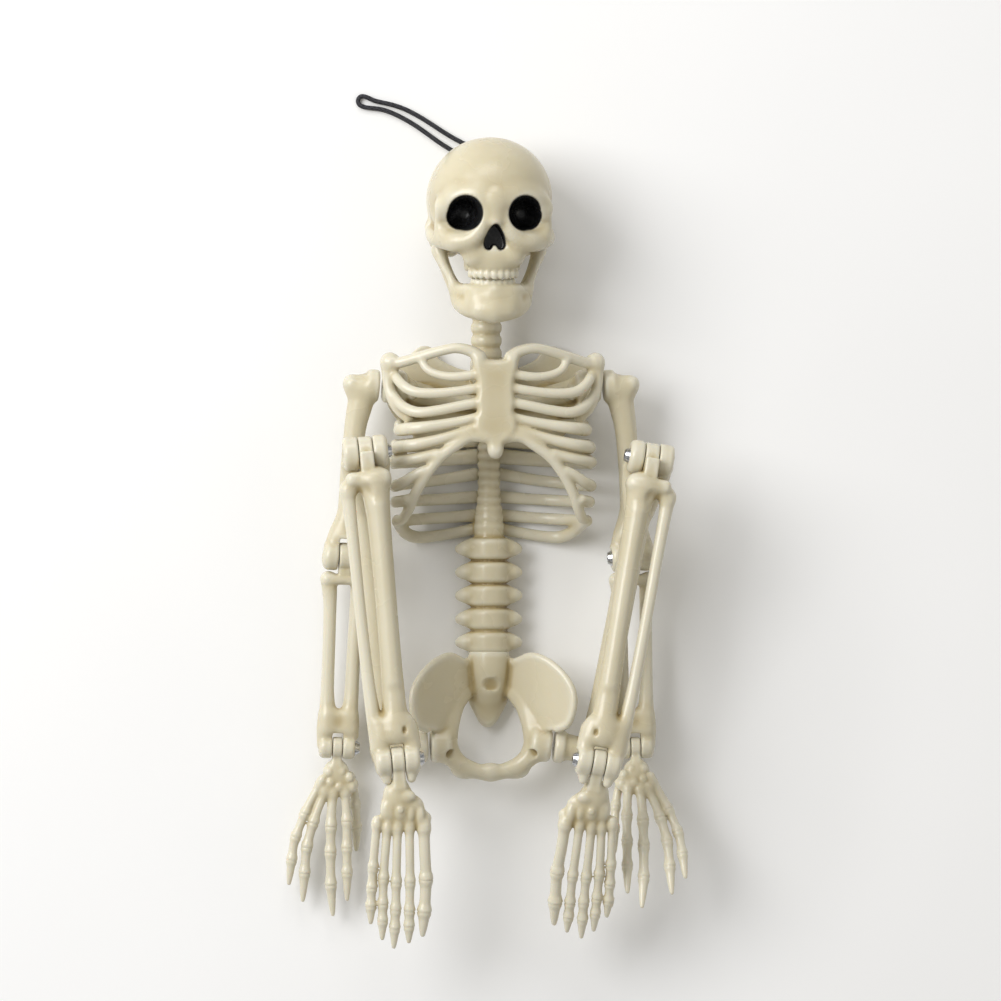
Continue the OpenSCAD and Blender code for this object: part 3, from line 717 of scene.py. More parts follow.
def hand():
    clay = Clay((-11, -60, -8), (20, 6, 6), 0.36)
    half = tongue_end(clay, WRIST)
    clay.add(slab((0, -3, 0), (half, 3.4, 1.6), 0.5), 0.3)
    clay.add(ball((0, -8.2, 0), (4.3, 4.2, 2.1)), 1)
    clay.add(ball((-1.2, -12.2, 0), (6.4, 3.9, 1.9)), 1.5)
    pebbles = [
        (2.3, -8.2, 1.2, 1.5), (-1.7, -8, 1.2, 1.4), (-4.3, -9.8, 1.0, 1.6), (-1.2, -12.8, 1.3, 1.6),
        (-5.2, -12.8, 0.8, 1.5), (1.9, -11.6, 1.3, 1.5), (4.4, -10.6, 1.0, 1.4),
        (-3.2, -14.6, 1.0, 1.4), (0.6, -15.2, 1.0, 1.3), (3.9, -14.2, 0.9, 1.4),
    ]
    for x, y, z, r in pebbles:
        clay.add(ball((x, y, z), (r, r * 1.15, r * 0.8)), 0.35)
    # four fingers and the thumb: path, knuckles and radius
    fingers = [
        ([(4.6, -11.5, 0), (8.2, -18.4, 0.2), (10.2, -23.5, 0.3), (12.6, -30.6, 0.1), (13.4, -37, 0),
          (14, -45.4, -0.2)], (0.02, 0.33, 0.56, 0.78), 1.95),
        ([(3, -14, 0.2), (5.4, -20, 0.5), (7, -25.6, 0.6), (8.6, -33.2, 0.4), (9.0, -41.6, 0.1),
          (9.2, -50.8, -0.2)], (0.02, 0.31, 0.53, 0.76), 2.05),
        ([(0.8, -14, 0.2), (1.0, -20, 0.6), (1.0, -26, 0.8), (0.8, -34, 0.5), (0.2, -45, 0.2),
          (-0.9, -55.2, -0.2)], (0.02, 0.29, 0.5, 0.76), 2.1),
        ([(-3, -13.6, 0.2), (-3.7, -19, 0.5), (-4.2, -24.4, 0.6), (-4.6, -33.4, 0.4),
          (-5, -41.2, 0.1), (-5.4, -50, -0.2)], (0.02, 0.29, 0.53, 0.76), 2.0),
        ([(-4.6, -9.6, -1.6), (-6.2, -14, -2.8), (-7.2, -19, -3.9), (-7.9, -27, -5.0),
          (-8.2, -34, -5.9)], (0.03, 0.4, 0.7), 1.9),
    ]
    tip = 0.7
    for path, knuckles, radius in fingers:
        digit(clay, path, knuckles, radius, tip)
    clay.cut(drum((-7, 0, 0), (7, 0, 0), SCREW_R + 0.1, 0.1), 0.2)
    return clay


# ---------------------------------------------------------------- legs
def femur():
    clay = Clay((-3, -108, -10), (24, 10, 14), 0.48)
    x = THIGH_OUT
    end = -THIGH
    tilt = (0, 0, -3.5)
    clay.add(drum((SEAT, 0, 0), (4.2, 0, 0), 5.5, 1.3).moved((0, 0, 0), tilt))
    clay.add(bar((3.4, 0, 0, 4.4), (8, 0.2, 0, 3.7)).moved((0, 0, 0), tilt), 1.2)
    clay.strand([(6, -0.4, 0, 3.8), (10, 0.2, 0, 3.9), (14.2, -0.6, 0.2, 4.9)], 1.5)
    clay.add(ball((15.6, 2.8, 0.8), (3.3, 3.6, 3.6)), 2)
    clay.strand([(x, -1, 0.2, 5.0), (x, -8, 0.8, 4.8), (x, -18, 1.4, 4.3), (x, -34, 2.4, 4.1),
                 (x, -52, 3.2, 4.0), (x, -70, 4.0, 4.1), (x, -82, 4.4, 4.3), (x, -91, 4.8, 4.8)], 2)
    for s in (-1, 1):
        clay.strand([(x + s * 1.2, -83, 4.6, 4.0), (x + s * 3.4, -90, 4.7, 3.9),
                     (x + s * 4.7, -96, 3.6, 3.4)], 2)
    ear_pair(clay, (x, end, 0), KNEE, (1.9, 1.3), 0.2)
    # small lumps on the outer ear
    for y, z in ((1.5, -2.6), (-1.8, -1.4), (0.4, 1.6), (3.4, 0.8)):
        clay.add(ball((x + 7.0, end + y, z), (0.7, 1.3, 1.3)), 0.4)
    open_fork(clay, (x, end, 0), KNEE)
    clay.keep(0, -2.6, True)
    clay.cut(drum((-6, 0, 0), (SEAT, 0, 0), 9, 0.1).moved((0, 0, 0), tilt), 0.2)
    return clay


def shin():
    clay = Clay((-11, -112, -9), (12, 8, 12), 0.48)
    top = KNEE[2] + PIVOT_GAP
    px, pz = ANKLE_SHIFT
    end = -SHIN
    clay.add(slab((0.2, -top - 2.2, 4.6), (7.2, 2.2, 4.4), 1.9), 1)
    clay.add(bar((4.6, -9.6, 5, 2.9), (7.0, -12.6, 4.6, 2.5)), 1.2)
    clay.strand([(-1.8, -10, 5, 5.2), (-2.0, -15, 4.9, 4.4), (-2.2, -24, 4.5, 3.8), (-2.2, -45, 3.9, 3.5),
                 (-2.1, -65, 3.2, 3.5), (-1.9, -82, 2.5, 3.9), (-1.7, -91, 2.2, 4.8)], 2)
    clay.strand([(-2.2, -18, 7.6, 1.2), (-2.3, -45, 6.2, 1.2), (-2.2, -75, 5.0, 1.2)], 3)
    clay.strand([(7.2, -11.5, 4.6, 2.6), (7.1, -17, 4.6, 2.2), (6.8, -30, 4.3, 1.95), (6.4, -55, 3.6, 1.9),
                 (5.8, -76, 2.9, 2.1), (5.0, -88, 2.4, 2.5), (4.4, -96, 2, 2.7)], 1.2)
    clay.add(slab((px, end + 10, pz), (6.4, 4.6, 3.5), 2.4), 2.5)
    for s in (-1, 1):
        clay.strand([(px + s * 4.4, end + 10, pz, 3.2), (px + s * 4.9, end + 4, pz, 3.1),
                     (px + s * 4.6, end - 1, pz, 2.9), (px + s * 4.0, end - 6.2, pz, 1.5)], 1.2)
    ear_pair(clay, (px, end, pz), ANKLE, (1.6, 1.8), 0.1)
    open_fork(clay, (px, end, pz), ANKLE, 0.6)
    clay.cut(ball((px - 2.9, end + 9.5, pz + 4.3), (0.7, 1.2, 1.0)), 0.8)
    tongue(clay, KNEE, top + 2, 0.6, 8.6)
    clay.cut(ball((1.4, -13.4, 9.8), (1.8, 2.2, 1.4)), 1.5)
    return clay


def foot():
    clay = Clay((-14, -68, -8), (14, 7, 8), 0.4)
    half = tongue_end(clay, ANKLE, 0.6)
    clay.add(slab((0, -4.5, 0), (half, 4.8, 2.9), 0.8), 0.3)
    # the sole and the toes point outwards by 5 degrees
    out = (0, 0, 5)
    turned = turning(out)

    def put(point):
        return tuple(turned @ np.array(point[:3], float)) + tuple(point[3:])

    def lump(point, radius, blend=1.0):
        clay.add(ball((0, 0, 0), radius).moved(put(point), out), blend)

    lump((0, -11, 0), (4.6, 4.6, 3.2), 1.5)
    lump((-1.6, -15.4, 0), (7.2, 5.0, 3.0), 2)
    lump((-2.6, -19, -0.2), (8.6, 3.8, 2.5), 1.5)
    lump((0, -13, -2.2), (4.2, 6.5, 3.2), 1.5)
    lump((-3.2, -11.6, 1.9), (2.6, 2.0, 1.7), 0.8)
    lump((-0.7, -16.2, 2.2), (2.0, 3.0, 1.3), 0.5)
    lump((-4.3, -17.2, 2.0), (1.3, 2.5, 1.2), 0.4)
    lump((-7.3, -18.2, 1.2), (1.7, 3.4, 1.7), 0.5)
    lump((3.2, -16.2, 1.2), (2.3, 3.4, 1.5), 0.8)
    clay.add(drum((0, 0, 0), (0, 0, 0.45), 1.0, 0.15).moved(put((-0.8, -15.9, 3.35)), out), 0.3)
    # big toe first: path, knuckles, radius and radius of the tip
    toes = [
        ([(-8.6, -20.6, 0.6), (-9.0, -30, 0.9), (-9.5, -39, 0.4), (-9.1, -49.4, 0), (-8.6, -57.2, -0.4)],
         (0.04, 0.5, 0.79), 2.5, 0.9),
        ([(-3.9, -20.2, 0.8), (-4.1, -30, 1.1), (-4.3, -40, 0.5), (-4.2, -49, 0.1), (-4.1, -59.5, -0.4)],
         (0.04, 0.5, 0.74, 0.87), 1.95, 0.75),
        ([(-0.1, -20.4, 0.8), (0.1, -30, 1.0), (0.2, -40, 0.4), (0.3, -49, 0), (0.8, -61.2, -0.4)],
         (0.04, 0.48, 0.7, 0.85), 1.95, 0.75),
        ([(3.1, -20.6, 0.6), (3.8, -29, 0.8), (4.3, -38, 0.3), (4.5, -48, -0.1), (4.6, -58.4, -0.4)],
         (0.04, 0.48, 0.7, 0.85), 1.9, 0.75),
        ([(6.6, -19.6, 0.3), (7.3, -28, 0.4), (7.9, -36, 0.1), (8.3, -45, -0.2), (8.4, -53.2, -0.5)],
         (0.04, 0.46, 0.66, 0.84), 1.9, 0.75),
    ]
    for path, knuckles, radius, tip in toes:
        digit(clay, [put(p) for p in path], knuckles, radius, tip)
    clay.cut(drum((-8, 0, 0), (8, 0, 0), SCREW_R + 0.1, 0.1), 0.2)
    return clay


def limb_stands(side, word):
    """The frames of the six bones of one arm and one leg, worked out from the joints alone."""
    def at(joint):
        return joint_at(joint + "_" + word)

    def lateral(joint):
        return axis_out(joint + "_" + word, side)

    forearm_up = at("elbow") - at("wrist")
    shin_up = at("knee") - at("ankle")
    drop = math.degrees(math.atan2(ANKLE_SHIFT[1], SHIN))
    return {
        "humerus": Stand(side, at("shoulder"), lateral("shoulder"), at("shoulder") - at("elbow")),
        "forearm": Stand(side, at("elbow"), lateral("wrist"), forearm_up),
        "hand": Stand(side, at("wrist"), lateral("wrist"), forearm_up, -WRIST_BEND[side]),
        "femur": Stand(side, at("hip"), lateral("knee"), at("hip") - at("knee")),
        "shin": Stand(side, at("knee"), lateral("knee"), shin_up, drop),
        "foot": Stand(side, at("ankle"), lateral("ankle"), shin_up, drop + FOOT_DROOP[side]),
    }


# each limb bone's function and body
LIMBS = {
    "humerus": (humerus, "upper_arm"), "forearm": (forearm, "lower_arm"), "hand": (hand, "hand"),
    "femur": (femur, "thigh"), "shin": (shin, "lower_leg"), "foot": (foot, "foot"),
}


def make_limbs():
    stands = {word: limb_stands(side, word) for side, word in SIDES}
    for bone, (sculpt, body) in LIMBS.items():
        clay = sculpt()
        for word, stand in stands.items():
            show_bone(clay, f"{bone}_{word}", f"{body}_{word}", stand[bone])


def plate_screws():
    for name, part in frame["nodes"].items():
        if "screw" in name:
            part.data.materials.clear()
            part.data.materials.append(ZINC)


# ---------------------------------------------------------------- head
SKULL_SEAM = 22.0
CRANIUM_Y = 112.5
EYE_X = 10.1
EYE_Y = 107.1
TOOTH_COUNT = 9
TOOTH_RISE = 0.15


def tooth_row(clay, pitch, radius, centre_y, centre_z, size):
    """Teeth on an arc, pitch degrees apart, each a little higher than the one in front of it."""
    for i in range(TOOTH_COUNT):
        step = i - (TOOTH_COUNT - 1) / 2
        angle = step * pitch
        a = math.radians(angle)
        y = centre_y + TOOTH_RISE * abs(step)
        place = (radius * math.sin(a), y, centre_z + radius * math.cos(a))
        clay.add(ball((0, 0, 0), size).moved(place, (0, angle, 0)), 0.6)


def skull():
    clay = Clay((-24, 82, -3), (24, 136, 53), 0.45)
    clay.add(bar((0, CRANIUM_Y, 20.5, 20.4), (0, CRANIUM_Y, 28.6, 20.2)))
    clay.add(ball((0, 115.6, 33), (17, 14.4, 15.2)), 3)
    # brow, rim of the eyes and cheek bones
    for s in (-1, 1):
        clay.strand([(1.5, 111.6, 46.2, 2.6), (7, 113.2, 45.4, 2.4), (13, 112.4, 43, 2.3),
                     (17, 109, 39.4, 2.2)], 4, side=s)
        clay.strand([(17, 109, 39, 2.2), (17.8, 104.6, 37.2, 2.3),
                     (16.2, 100.6, 38.2, 2.6)], 3.5, side=s)
        clay.strand([(3.2, 107, 45.8, 1.9), (4.8, 102.2, 45.2, 2.4), (8, 98.8, 43.4, 3.2),
                     (12.4, 98.2, 41.2, 3.4), (16.2, 98.8, 37, 3.0), (18.4, 99.6, 31, 2.5),
                     (18.9, 101, 26, 2.3), (18.4, 103, 20, 2.2)], 2, side=s)
        clay.add(ball((s * 6.2, 94.6, 40.2), (4.3, 4.8, 4.2)), 2.5)
        # side of the base, behind the branch of the jaw
        clay.strand([(17.6, 104, 19, 2.4), (16.6, 99, 15, 2.6), (12, 96.6, 12, 2.8)], 2.5, side=s)
    clay.strand([(0, 112.4, 46.6, 2.6), (0, 108, 47.2, 2.0), (0, 105, 47.4, 1.8)], 2.5)
    clay.add(drum((0, 95, 33.6), (0, 88.6, 33.6), 9.2, 1.4), 2)
    clay.add(ball((0, 93.6, 40.8), (6, 5, 3.4)), 2.5)
    tooth_row(clay, 14.2, 8.9, 87.3, 33.6, (1.15, 1.7, 0.9))
    # base of the skull around the neck
    clay.add(drum((0, 99, 12.5), (0, 92.9, 12.5), 7, 1.2), 2)
    # temples
    for s in (-1, 1):
        clay.cut(ball((s * 26.4, 108, 35.5), (7.4, 9, 8)), 3)
    # eye sockets and nose, painted black
    for s in (-1, 1):
        inner = bar((s * 9.6, EYE_Y, 37.5, 4.4), (s * (EYE_X + 0.2), EYE_Y + 0.1, 50, 6.1))
        outer = bar((s * 11.4, EYE_Y - 0.9, 37.5, 3.4), (s * (EYE_X + 1.7), EYE_Y - 1.1, 49, 4.6))
        clay.cut(inner, 0.8, True)
        clay.cut(outer, 0.6, True)
    nose = closed_by_mirror([(0.5, 97), (1.5, 95.6), (2.8, 95.8), (3.4, 97), (3.2, 98.8), (2.4, 100.9),
                             (1.3, 102.7), (0.4, 103.5)])
    clay.cut(sheet(nose, level(46), 10), 0.5, True)
    # sockets of the jaw and of the neck, and the way out of the loop
    for s in (-1, 1):
        hinge = drum((s * 9, 96.4, SKULL_SEAM), (s * 24, 96.4, SKULL_SEAM), 1.7, 0.1)
        clay.cut(hinge, 0.2)
    clay.cut(drum((0, 100, 12.5), (0, 90, 12.5), 2.6, 0.2), 0.3)
    clay.cut(drum((0, 122.3, 8.7), (0, 131.5, 1), 2.1, 0.2), 0.4)
    return clay


def jaw():
    clay = Clay((-21, 68, 12), (21, 101, 47), 0.38)
    for s in (-1, 1):
        # the branch is a flat plate, deep from front to back
        for back, fore in ((20.5, 23.5), (22, 27), (22.5, 30)):
            clay.strand([(16.6, 95.6, back, 1.7), (15.1, 91, (back + fore) / 2, 1.3),
                         (13.4, 87, fore, 1.3), (11.8, 82.6, fore + 1, 1.6)], 1.2, side=s)
        clay.strand([(16.6, 96.3, 22.1, 2.2), (14.8, 91.6, 23.2, 1.7), (13.2, 87, 25, 1.8),
                     (11.1, 82.4, 27.4, 2.2), (10.4, 79.3, 31.4, 2.9), (8.4, 77.2, 35.8, 3.0),
                     (4.6, 76.2, 39.2, 3.3), (0, 75.8, 40.3, 3.4)], 1.5, wide=1.12, side=s)
        clay.strand([(11.2, 82.9, 30.5, 1.8), (9.4, 82.5, 33.8, 2.2), (6.2, 82.2, 37.8, 2.4),
                     (0, 82, 39.8, 2.4)], 2.5, side=s)
        clay.add(drum((s * 9.5, 96.4, 22), (s * 16.4, 96.4, 22), 1.5, 0.3), 0.5)
    clay.add(ball((0, 75.6, 41), (6.4, 2.9, 2.6)), 2)
    clay.add(ball((0, 79.2, 38.6), (8, 3.8, 3.9)), 3)
    tooth_row(clay, 13.6, 8.0, 84.6, 32.8, (1.05, 1.3, 0.8))
    clay.cut(slab((0, 79, 27), (7.4, 8, 8.4), 4), 1)
    return clay


def neck():
    clay = Clay((-8, 55, 3), (8, 102, 22), 0.4)
    z = joint_at("head_turn")[2]
    pitch = 4.3
    clay.add(drum((0, 56.2, z), (0, 92, z), 4.4, 0.3))
    clay.add(drum((0, 88, z), (0, 99.6, z), 2.25, 0.3), 0.3)
    for i in range(7):
        y = 62 + pitch * i
        clay.add(drum((0, y - 1.7, z), (0, y + 1.7, z), 5.1, 1.3), 0.8)
        clay.add(ball((0, y - 0.4, z - 4.4), (2, 1.5, 1.8)), 0.6)
    return clay


def make_head():
    stand = Figure(head_x)
    whole = skull()
    uncut = whole.field.copy()
    whole.keep(2, SKULL_SEAM, True)
    show_bone(whole, "skull_face", "head", stand)
    whole.field = uncut
    whole.keep(2, SKULL_SEAM, False)
    show_bone(whole, "skull_rear", "head", stand)
    show_bone(jaw(), "jaw", "jaw", stand)
    show_bone(neck(), "neck", "torso", stand)


# ---------------------------------------------------------------- trunk
RIB_SEAM = 19.0
SPINE_Z = 7.5
BREAST_Z = 31.8
# how far each rib goes out, and its Y there and at the spine
RIBS = [(26.5, 49, 51), (29, 43.6, 46), (30.8, 38, 40.5), (32, 31.5, 34),
        (32.5, 26.3, 28.2), (32.5, 18.5, 22.4), (32, 13.2, 14.9), (31.4, 7, 8.9)]
RIB_BEND = 17.2
LUMBAR_PITCH = 7.7


def blade_height(x, y):
    """The level of a shoulder blade, which rises outwards."""
    return 2.4 + 0.12 * (abs(x) - 10)


def rear_torso():
    clay = Clay((-41, -44, -3), (41, 68, 25), 0.56)
    # upper spine, seen through the ribs
    clay.strand([(0, 58, 8.5, 4.6), (0, 40, SPINE_Z, 3.2), (0, 16, SPINE_Z, 3.4), (0, 4, SPINE_Z, 4.8),
                 (0, -36, SPINE_Z, 5.7)], 1)
    pitch = 2.9
    for i in range(15):
        y = 5.2 + pitch * i
        r = 5 - 0.3 * min(i, 4)
        clay.add(drum((0, y - 1.1, SPINE_Z), (0, y + 1.1, SPINE_Z), r, 0.9), 0.5)
    clay.add(slab((0, 56.5, 9), (6, 4.2, 6.5), 2), 2)
    # five lumbar vertebrae with their leaf-shaped fins
    for i in range(5):
        y = -2.1 - LUMBAR_PITCH * i
        clay.add(drum((0, y - 3.7, SPINE_Z), (0, y + 3.3, SPINE_Z), 6.8, 1.6), 0.4)
        for s in (-1, 1):
            clay.strand([(3, y + 0.2, 7.6, 3.3), (6.8, y, 7.4, 2.9),
                         (9.4, y - 0.2, 7, 1.8)], 1.4, side=s)
    # rear halves of the ribs
    for w, y, spine_y in RIBS:
        for s in (-1, 1):
            rows = []
            for a in (0, 22, 45, 68, 90):
                t = math.radians(a)
                x = w - RIB_BEND + RIB_BEND * math.cos(t)
                z = RIB_SEAM - RIB_BEND * math.sin(t)
                rows.append((s * x, y + (spine_y - y) * (w - x) / w, z, 1.55))
            rows.append((s * 4, spine_y, 2.6, 1.7))
            clay.strand(rows, 0.8, wide=1.5 if y > 20 else 1.25)
    # the lowest pair turns up into the ends of the pair above it
    for s in (-1, 1):
        clay.strand([(3, 4.6, 3.4, 1.7), (9, 3.4, 2.2, 1.6), (17, 2, 1.9, 1.6), (23.5, 1.6, 3, 1.7),
                     (27.4, 3, 6, 1.8), (29.8, 5.2, 10.4, 1.7),
                     (31, 6.8, 16, 1.6)], 0.8, wide=1.2, side=s)
    # shoulder blades
    blade = [(4.5, 43), (4.5, 55), (10, 57.4), (16, 60.4), (18.4, 64), (22.4, 64.6), (27, 61),
             (33.4, 58), (34.6, 51), (33, 44.4), (28.6, 38.4), (22, 33.4), (14, 34)]
    for outline in (blade, mirrored(blade)):
        clay.add(sheet(outline, blade_height, 1.8), 0.6)
    clay.keep(2, 0.02, True)
    return clay


def shoulder_blocks(clay):
    """Blocks of the shoulders on the rear torso, each cut flat where the arm turns."""
    for side, word in SIDES:
        pivot = joint_at("shoulder_" + word) - np.array([torso_x, 0, 0])
        axis = axis_out("shoulder_" + word, side)
        clay.strand([(*(pivot - axis * 5.5), 4.6), (side * 24, 49, 9.5, 3.6), (side * 14, 47, 6, 2.6),
                     (side * 4, 46, 6, 2.4)], 1.5)
        clay.add(drum(pivot - axis * 8.4, pivot - axis * 0.5, 5.5, 1.6), 1.5)
        clay.cut(drum(pivot - axis * 0.4, pivot + axis * 8, 9, 0.1), 0.2)


def front_rib_cage():
    clay = Clay((-41, 1, 14), (41, 70, 38), 0.48)
    # breast bone, with the notch between the collar bones
    half = [(3.4, 60.2), (7, 61.6), (7.4, 58), (6.5, 54.4), (6.1, 50), (6.5, 46), (6.1, 43), (7.1, 40.4),
            (7, 36.6), (4.6, 33.8), (2.9, 32.2), (2.3, 30), (1.2, 28.4)]
    breast = [(0, 59.8), *closed_by_mirror(half)]
    clay.add(sheet(breast, level(BREAST_Z), 4.2, 2.0), 1)
    clay.add(ball((0, 30, BREAST_Z), (2.2, 2.6, 2.2)), 1.5)
    for s in (-1, 1):
        # collar bone, with a loop of rib below it
        clay.strand([(5.2, 60.6, 31.6, 2.3), (8, 62.6, 31.4, 1.9), (13, 63.6, 30.8, 1.7),
                     (19, 62.4, 29, 1.7), (25, 60.6, 26.6, 1.8), (31, 58.9, 23.6, 1.9),
                     (33.8, 59.2, 21.6, 3.1)], 1.2, side=s)
        clay.strand([(24.2, 60.6, 27, 1.4), (22.3, 56.8, 28.6, 1.35), (18.2, 54.8, 30, 1.4),
                     (12.4, 54.2, 31.4, 1.5), (5, 55.2, 31.8, 1.7)], 1, side=s)
        # the shoulder's front edge
        clay.strand([(33.8, 58.8, 21.2, 3.0), (34.2, 53, 21.6, 2.2), (33.6, 48.4, 22.4, 1.9),
                     (31.4, 44, 23.6, 1.9), (28.2, 40.6, 25.2, 1.6)], 1.2, side=s)
        clay.strand([(33.2, 56, 21.6, 1.6), (30.2, 51.6, 26.8, 1.7), (26, 49.2, 29.4, 1.7),
                     (19.2, 48.8, 31, 1.65), (11.3, 49.6, 31.8, 1.6),
                     (4.6, 50.8, 31.8, 1.7)], 0.8, side=s)
        clay.strand([(33.4, 49, 22.4, 1.6), (30.2, 44.7, 26, 1.8), (25.5, 42.6, 29.4, 1.8),
                     (19.2, 43.1, 31, 1.75), (11.3, 44.7, 31.8, 1.7),
                     (4.6, 46, 31.8, 1.7)], 0.8, side=s)
        # two ribs with free bends at the side
        clay.strand([(30.6, 36.8, 19.2, 1.9), (30.6, 36.9, 23.4, 2.1), (28.6, 37.1, 28, 2.15),
                     (24, 37.6, 31, 2.0), (17, 38.6, 31.6, 1.8), (10, 39.9, 31.8, 1.65),
                     (4.6, 41.2, 31.8, 1.7)], 0.8, side=s)
        clay.strand([(31.8, 31, 19.2, 1.9), (31.8, 31.1, 23.4, 2.1), (30, 31.4, 27.8, 2.15),
                     (25.6, 32.1, 30.8, 2.0), (18, 33.8, 31.6, 1.8), (10, 36.2, 31.8, 1.7),
                     (4.6, 38.2, 31.8, 1.8)], 0.8, side=s)
        # lower ribs up to the costal arch
        clay.strand([(32.3, 26.3, 19.2, 1.9), (32.2, 26.3, 23.6, 2.0), (30, 26.7, 27.6, 1.9),
                     (25.4, 27.6, 30.2, 1.8), (19.4, 28.8, 31.2, 1.9)], 1, side=s)
        clay.strand([(32.3, 18.5, 19.2, 1.9), (32, 18.6, 24, 2.0), (29.6, 19.8, 27.6, 1.8),
                     (26, 22.2, 29.6, 1.7), (23.6, 23.4, 30.2, 1.7)], 1, side=s)
        clay.strand([(31.9, 13.2, 19.2, 1.9), (31.6, 13.3, 23, 1.9), (28.8, 14, 26.8, 1.7)], 1, side=s)
        clay.strand([(3.4, 34.6, 31.8, 2.0), (8.6, 34.6, 31.8, 2.0), (13.2, 31.8, 31.8, 2.0),
                     (18.2, 27.9, 31.4, 1.9), (22.2, 22.8, 30.2, 1.8), (25.6, 16.8, 28.2, 1.75),
                     (27.8, 11.2, 25.6, 1.7), (29.6, 7.8, 22.6, 1.7),
                     (31.3, 7, 19.2, 1.9)], 1.2, side=s)
    clay.keep(2, RIB_SEAM, True)
    return clay


def wing_height(x, y):
    """How far forward the hip bone's wing stands."""
    reach = np.clip((abs(x) - 6) / 20, 0, 1.2)
    return 7.4 + 15.6 * reach ** 0.85


def pelvis():
    clay = Clay((-32, -84, -3), (32, -28, 28), 0.46)
    # sacrum with its tail
    clay.strand([(0, -34.4, SPINE_Z, 6.5), (0, -38, 7.6, 6.6), (0, -42, 7.6, 6.5), (0, -47, 6, 6.1),
                 (0, -51.5, 4.2, 4.8), (0, -56, 3.2, 3.0), (0, -58.6, 2.8, 1.9)], 1)
    clay.cut(drum((0, -20, SPINE_Z), (0, -36.1, SPINE_Z), 12, 0.1), 0.2)
    clay.add(drum((0, -40, SPINE_Z), (0, -31.5, SPINE_Z), 2.9, 0.4), 0.2)
    leaf = closed_by_mirror([(7.6, -44), (7.6, -49.4), (6.4, -52.4), (4.2, -56.4), (1.6, -60.2)])
    clay.add(sheet(leaf, level(3.6), 3.4, 1.4), 3)
    clay.cut(ball((0, 0, 0), (3.4, 2.5, 0.7)).moved((0.6, -46.8, 12.3), (28, 0, 0)), 0.3)
    # wings of the hip bones, with a thin raised rim
    wing = [(4.5, -38.6), (8, -38.4), (12.8, -37.4), (17.6, -38.6), (22, -42), (25.4, -46.6), (26.7, -51),
            (26.3, -56), (24.6, -60), (21.6, -61.6), (17.5, -62), (13, -60), (10.6, -56), (9.4, -52.6),
            (6.8, -49.5), (4.5, -48)]
    for s in (-1, 1):
        outline = [(s * px, py) for px, py in wing]
        clay.add(sheet(outline, wing_height, 2.4, 0.8), 2.2)
        edge = [(8, -40.2), *wing[2:10]]
        rim = [(px, py, float(wing_height(px, py)) + 0.1, 1.1) for px, py in edge]
        clay.strand(rim, 0.8, side=s)
        clay.strand([(8, -50.5, 8.4, 2.0), (10.6, -54, 10.6, 2.2), (12.6, -58.6, 12.6, 2.7),
                     (14, -63, 13.6, 3.3), (14.4, -67, 14, 3.6), (12.2, -71.2, 14, 3.2),
                     (8, -74.2, 14, 2.7), (3.6, -75.6, 14, 2.6), (0, -75.8, 14, 2.7)], 1.8, side=s)
        clay.add(ball((s * 8.5, -75, 12.6), (4.4, 3.0, 3.2)), 1.5)
    # sockets of the hips, and a round mark beside each
    for side, word in SIDES:
        pivot = joint_at("hip_" + word) - np.array([torso_x, 0, 0])
        axis = axis_out("hip_" + word, side)
        clay.add(drum(pivot - axis * 7.2, pivot - axis * 0.4, 5.6, 1.4), 1.8)
        clay.cut(drum(pivot - axis * 0.4, pivot + axis * 12, 6.5, 0.2), 0.3)
        mark = side * 13.4
        clay.cut(drum((mark, -69.8, 17.15), (mark, -69.8, 20), 1.7, 0.1), 0.25)
    clay.keep(2, 0.02, True)
    return clay


def make_trunk():
    stand = Figure(torso_x)
    back = rear_torso()
    shoulder_blocks(back)
    show_bone(back, "rear_torso", "torso", stand)
    show_bone(front_rib_cage(), "front_rib_cage", "torso", stand)
    show_bone(pelvis(), "pelvis", "torso", stand)


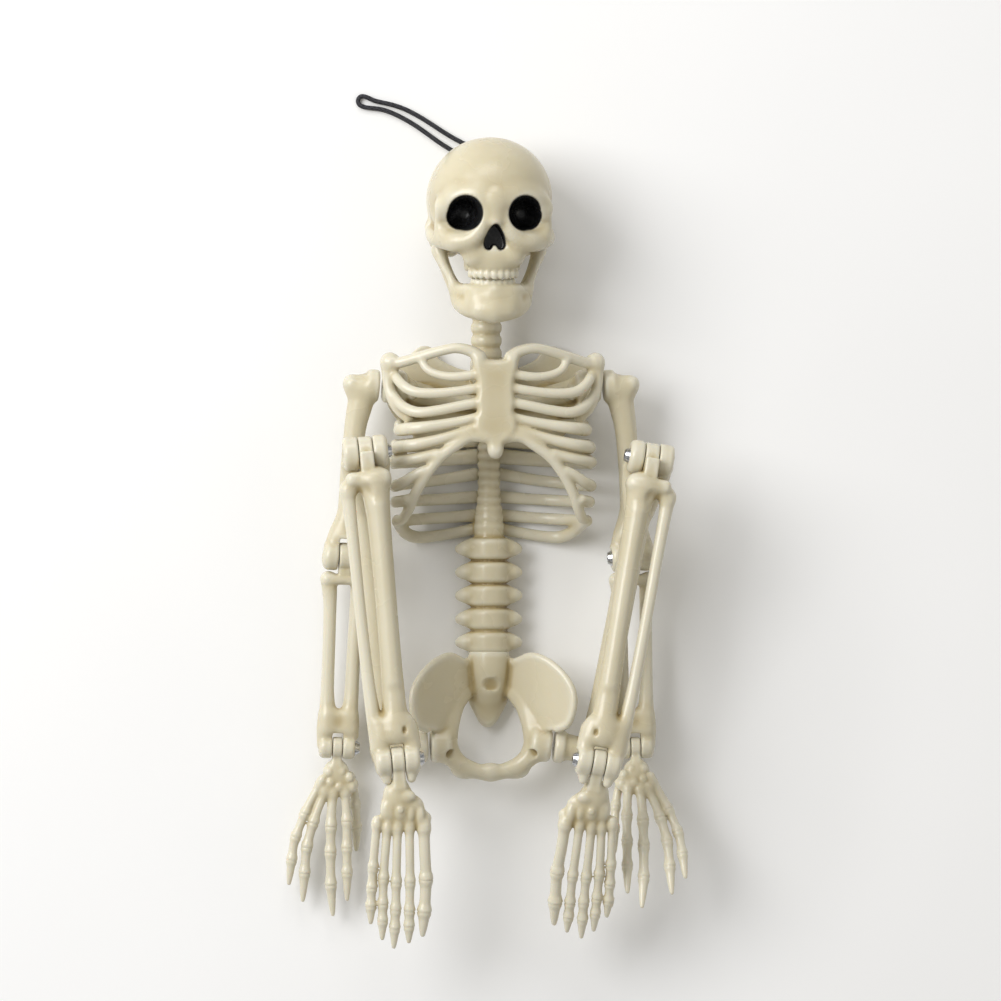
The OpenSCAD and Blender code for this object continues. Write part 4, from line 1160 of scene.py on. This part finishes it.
# ---------------------------------------------------------------- hanging loop
LOOP = [
    (0.9, 123.8, 7.1), (0.8, 125.2, 5.5), (0.4, 126.6, 3.8), (-0.4, 128, 2.2), (-1.8, 129.4, 1.1),
    (-4, 130.6, 0.8), (-7, 132, 0.8), (-10.4, 133.8, 0.8), (-14, 136, 0.8), (-18, 138.6, 0.8),
    (-22, 141, 0.8), (-26, 143, 0.8), (-30, 144.4, 0.8), (-33.6, 145.2, 0.8), (-36.4, 145.9, 0.8),
    (-38.6, 146.9, 0.8), (-40.4, 147.2, 0.8), (-41.5, 146, 0.8), (-41, 144.4, 0.8), (-39.2, 143.6, 0.8),
    (-36.8, 143.3, 0.8), (-33.8, 142.9, 0.8), (-30.4, 141.8, 0.8), (-26.6, 140, 0.8), (-22.8, 137.8, 0.8),
    (-19, 135.2, 0.8), (-15.4, 132.6, 0.8), (-12, 130.4, 0.8), (-8.8, 128.6, 0.8), (-5.8, 127.6, 0.9),
    (-3.2, 127.2, 1.4), (-1.7, 126.7, 2.9), (-1.1, 126, 4.5), (-0.9, 125, 5.8), (-0.9, 123.8, 7.1),
]
CORD_D = 1.5
KNOT_AT = np.array([0, 122.7, 8.4])
KNOT_ROOM = 5
KNOT_TURN_R = 1.7
KNOT_WAVE = 0.35
KNOT_STRAND_R = 0.85


def make_knot():
    """Three rings of cord through each other, each turned another way."""
    clay = Clay(KNOT_AT - KNOT_ROOM, KNOT_AT + KNOT_ROOM, 0.3)
    for k in range(3):
        turns = []
        for a in range(0, 361, 30):
            t = math.radians(a)
            ring = np.array([KNOT_TURN_R * math.cos(t), KNOT_TURN_R * math.sin(t),
                             KNOT_WAVE * math.sin(2 * t)])
            turns.append((*(turning((60 * k, 50 * k, 30)) @ ring + KNOT_AT), KNOT_STRAND_R))
        clay.strand(turns, 0.25, 2)
    data = clay.mesh("elastic_knot", Figure(head_x))
    return show("elastic_knot", data, "head", ["loop_knot"], ELASTIC)


def make_loop():
    points = smooth_line(np.array(LOOP) + np.array([head_x, 0, 0]), 3) * MM
    curve = bpy.data.curves.new("elastic_loop", "CURVE")
    curve.dimensions = "3D"
    spline = curve.splines.new("POLY")
    spline.points.add(len(points) - 1)
    for target, point in zip(spline.points, points):
        target.co = (*point, 1)
    curve.bevel_depth = CORD_D / 2 * MM
    curve.bevel_resolution = 3
    loop = show("elastic_loop", curve, "head", ["hanging_loop"], ELASTIC)
    knot = make_knot()


make_loop()
make_limbs()
plate_screws()
make_head()
make_trunk()
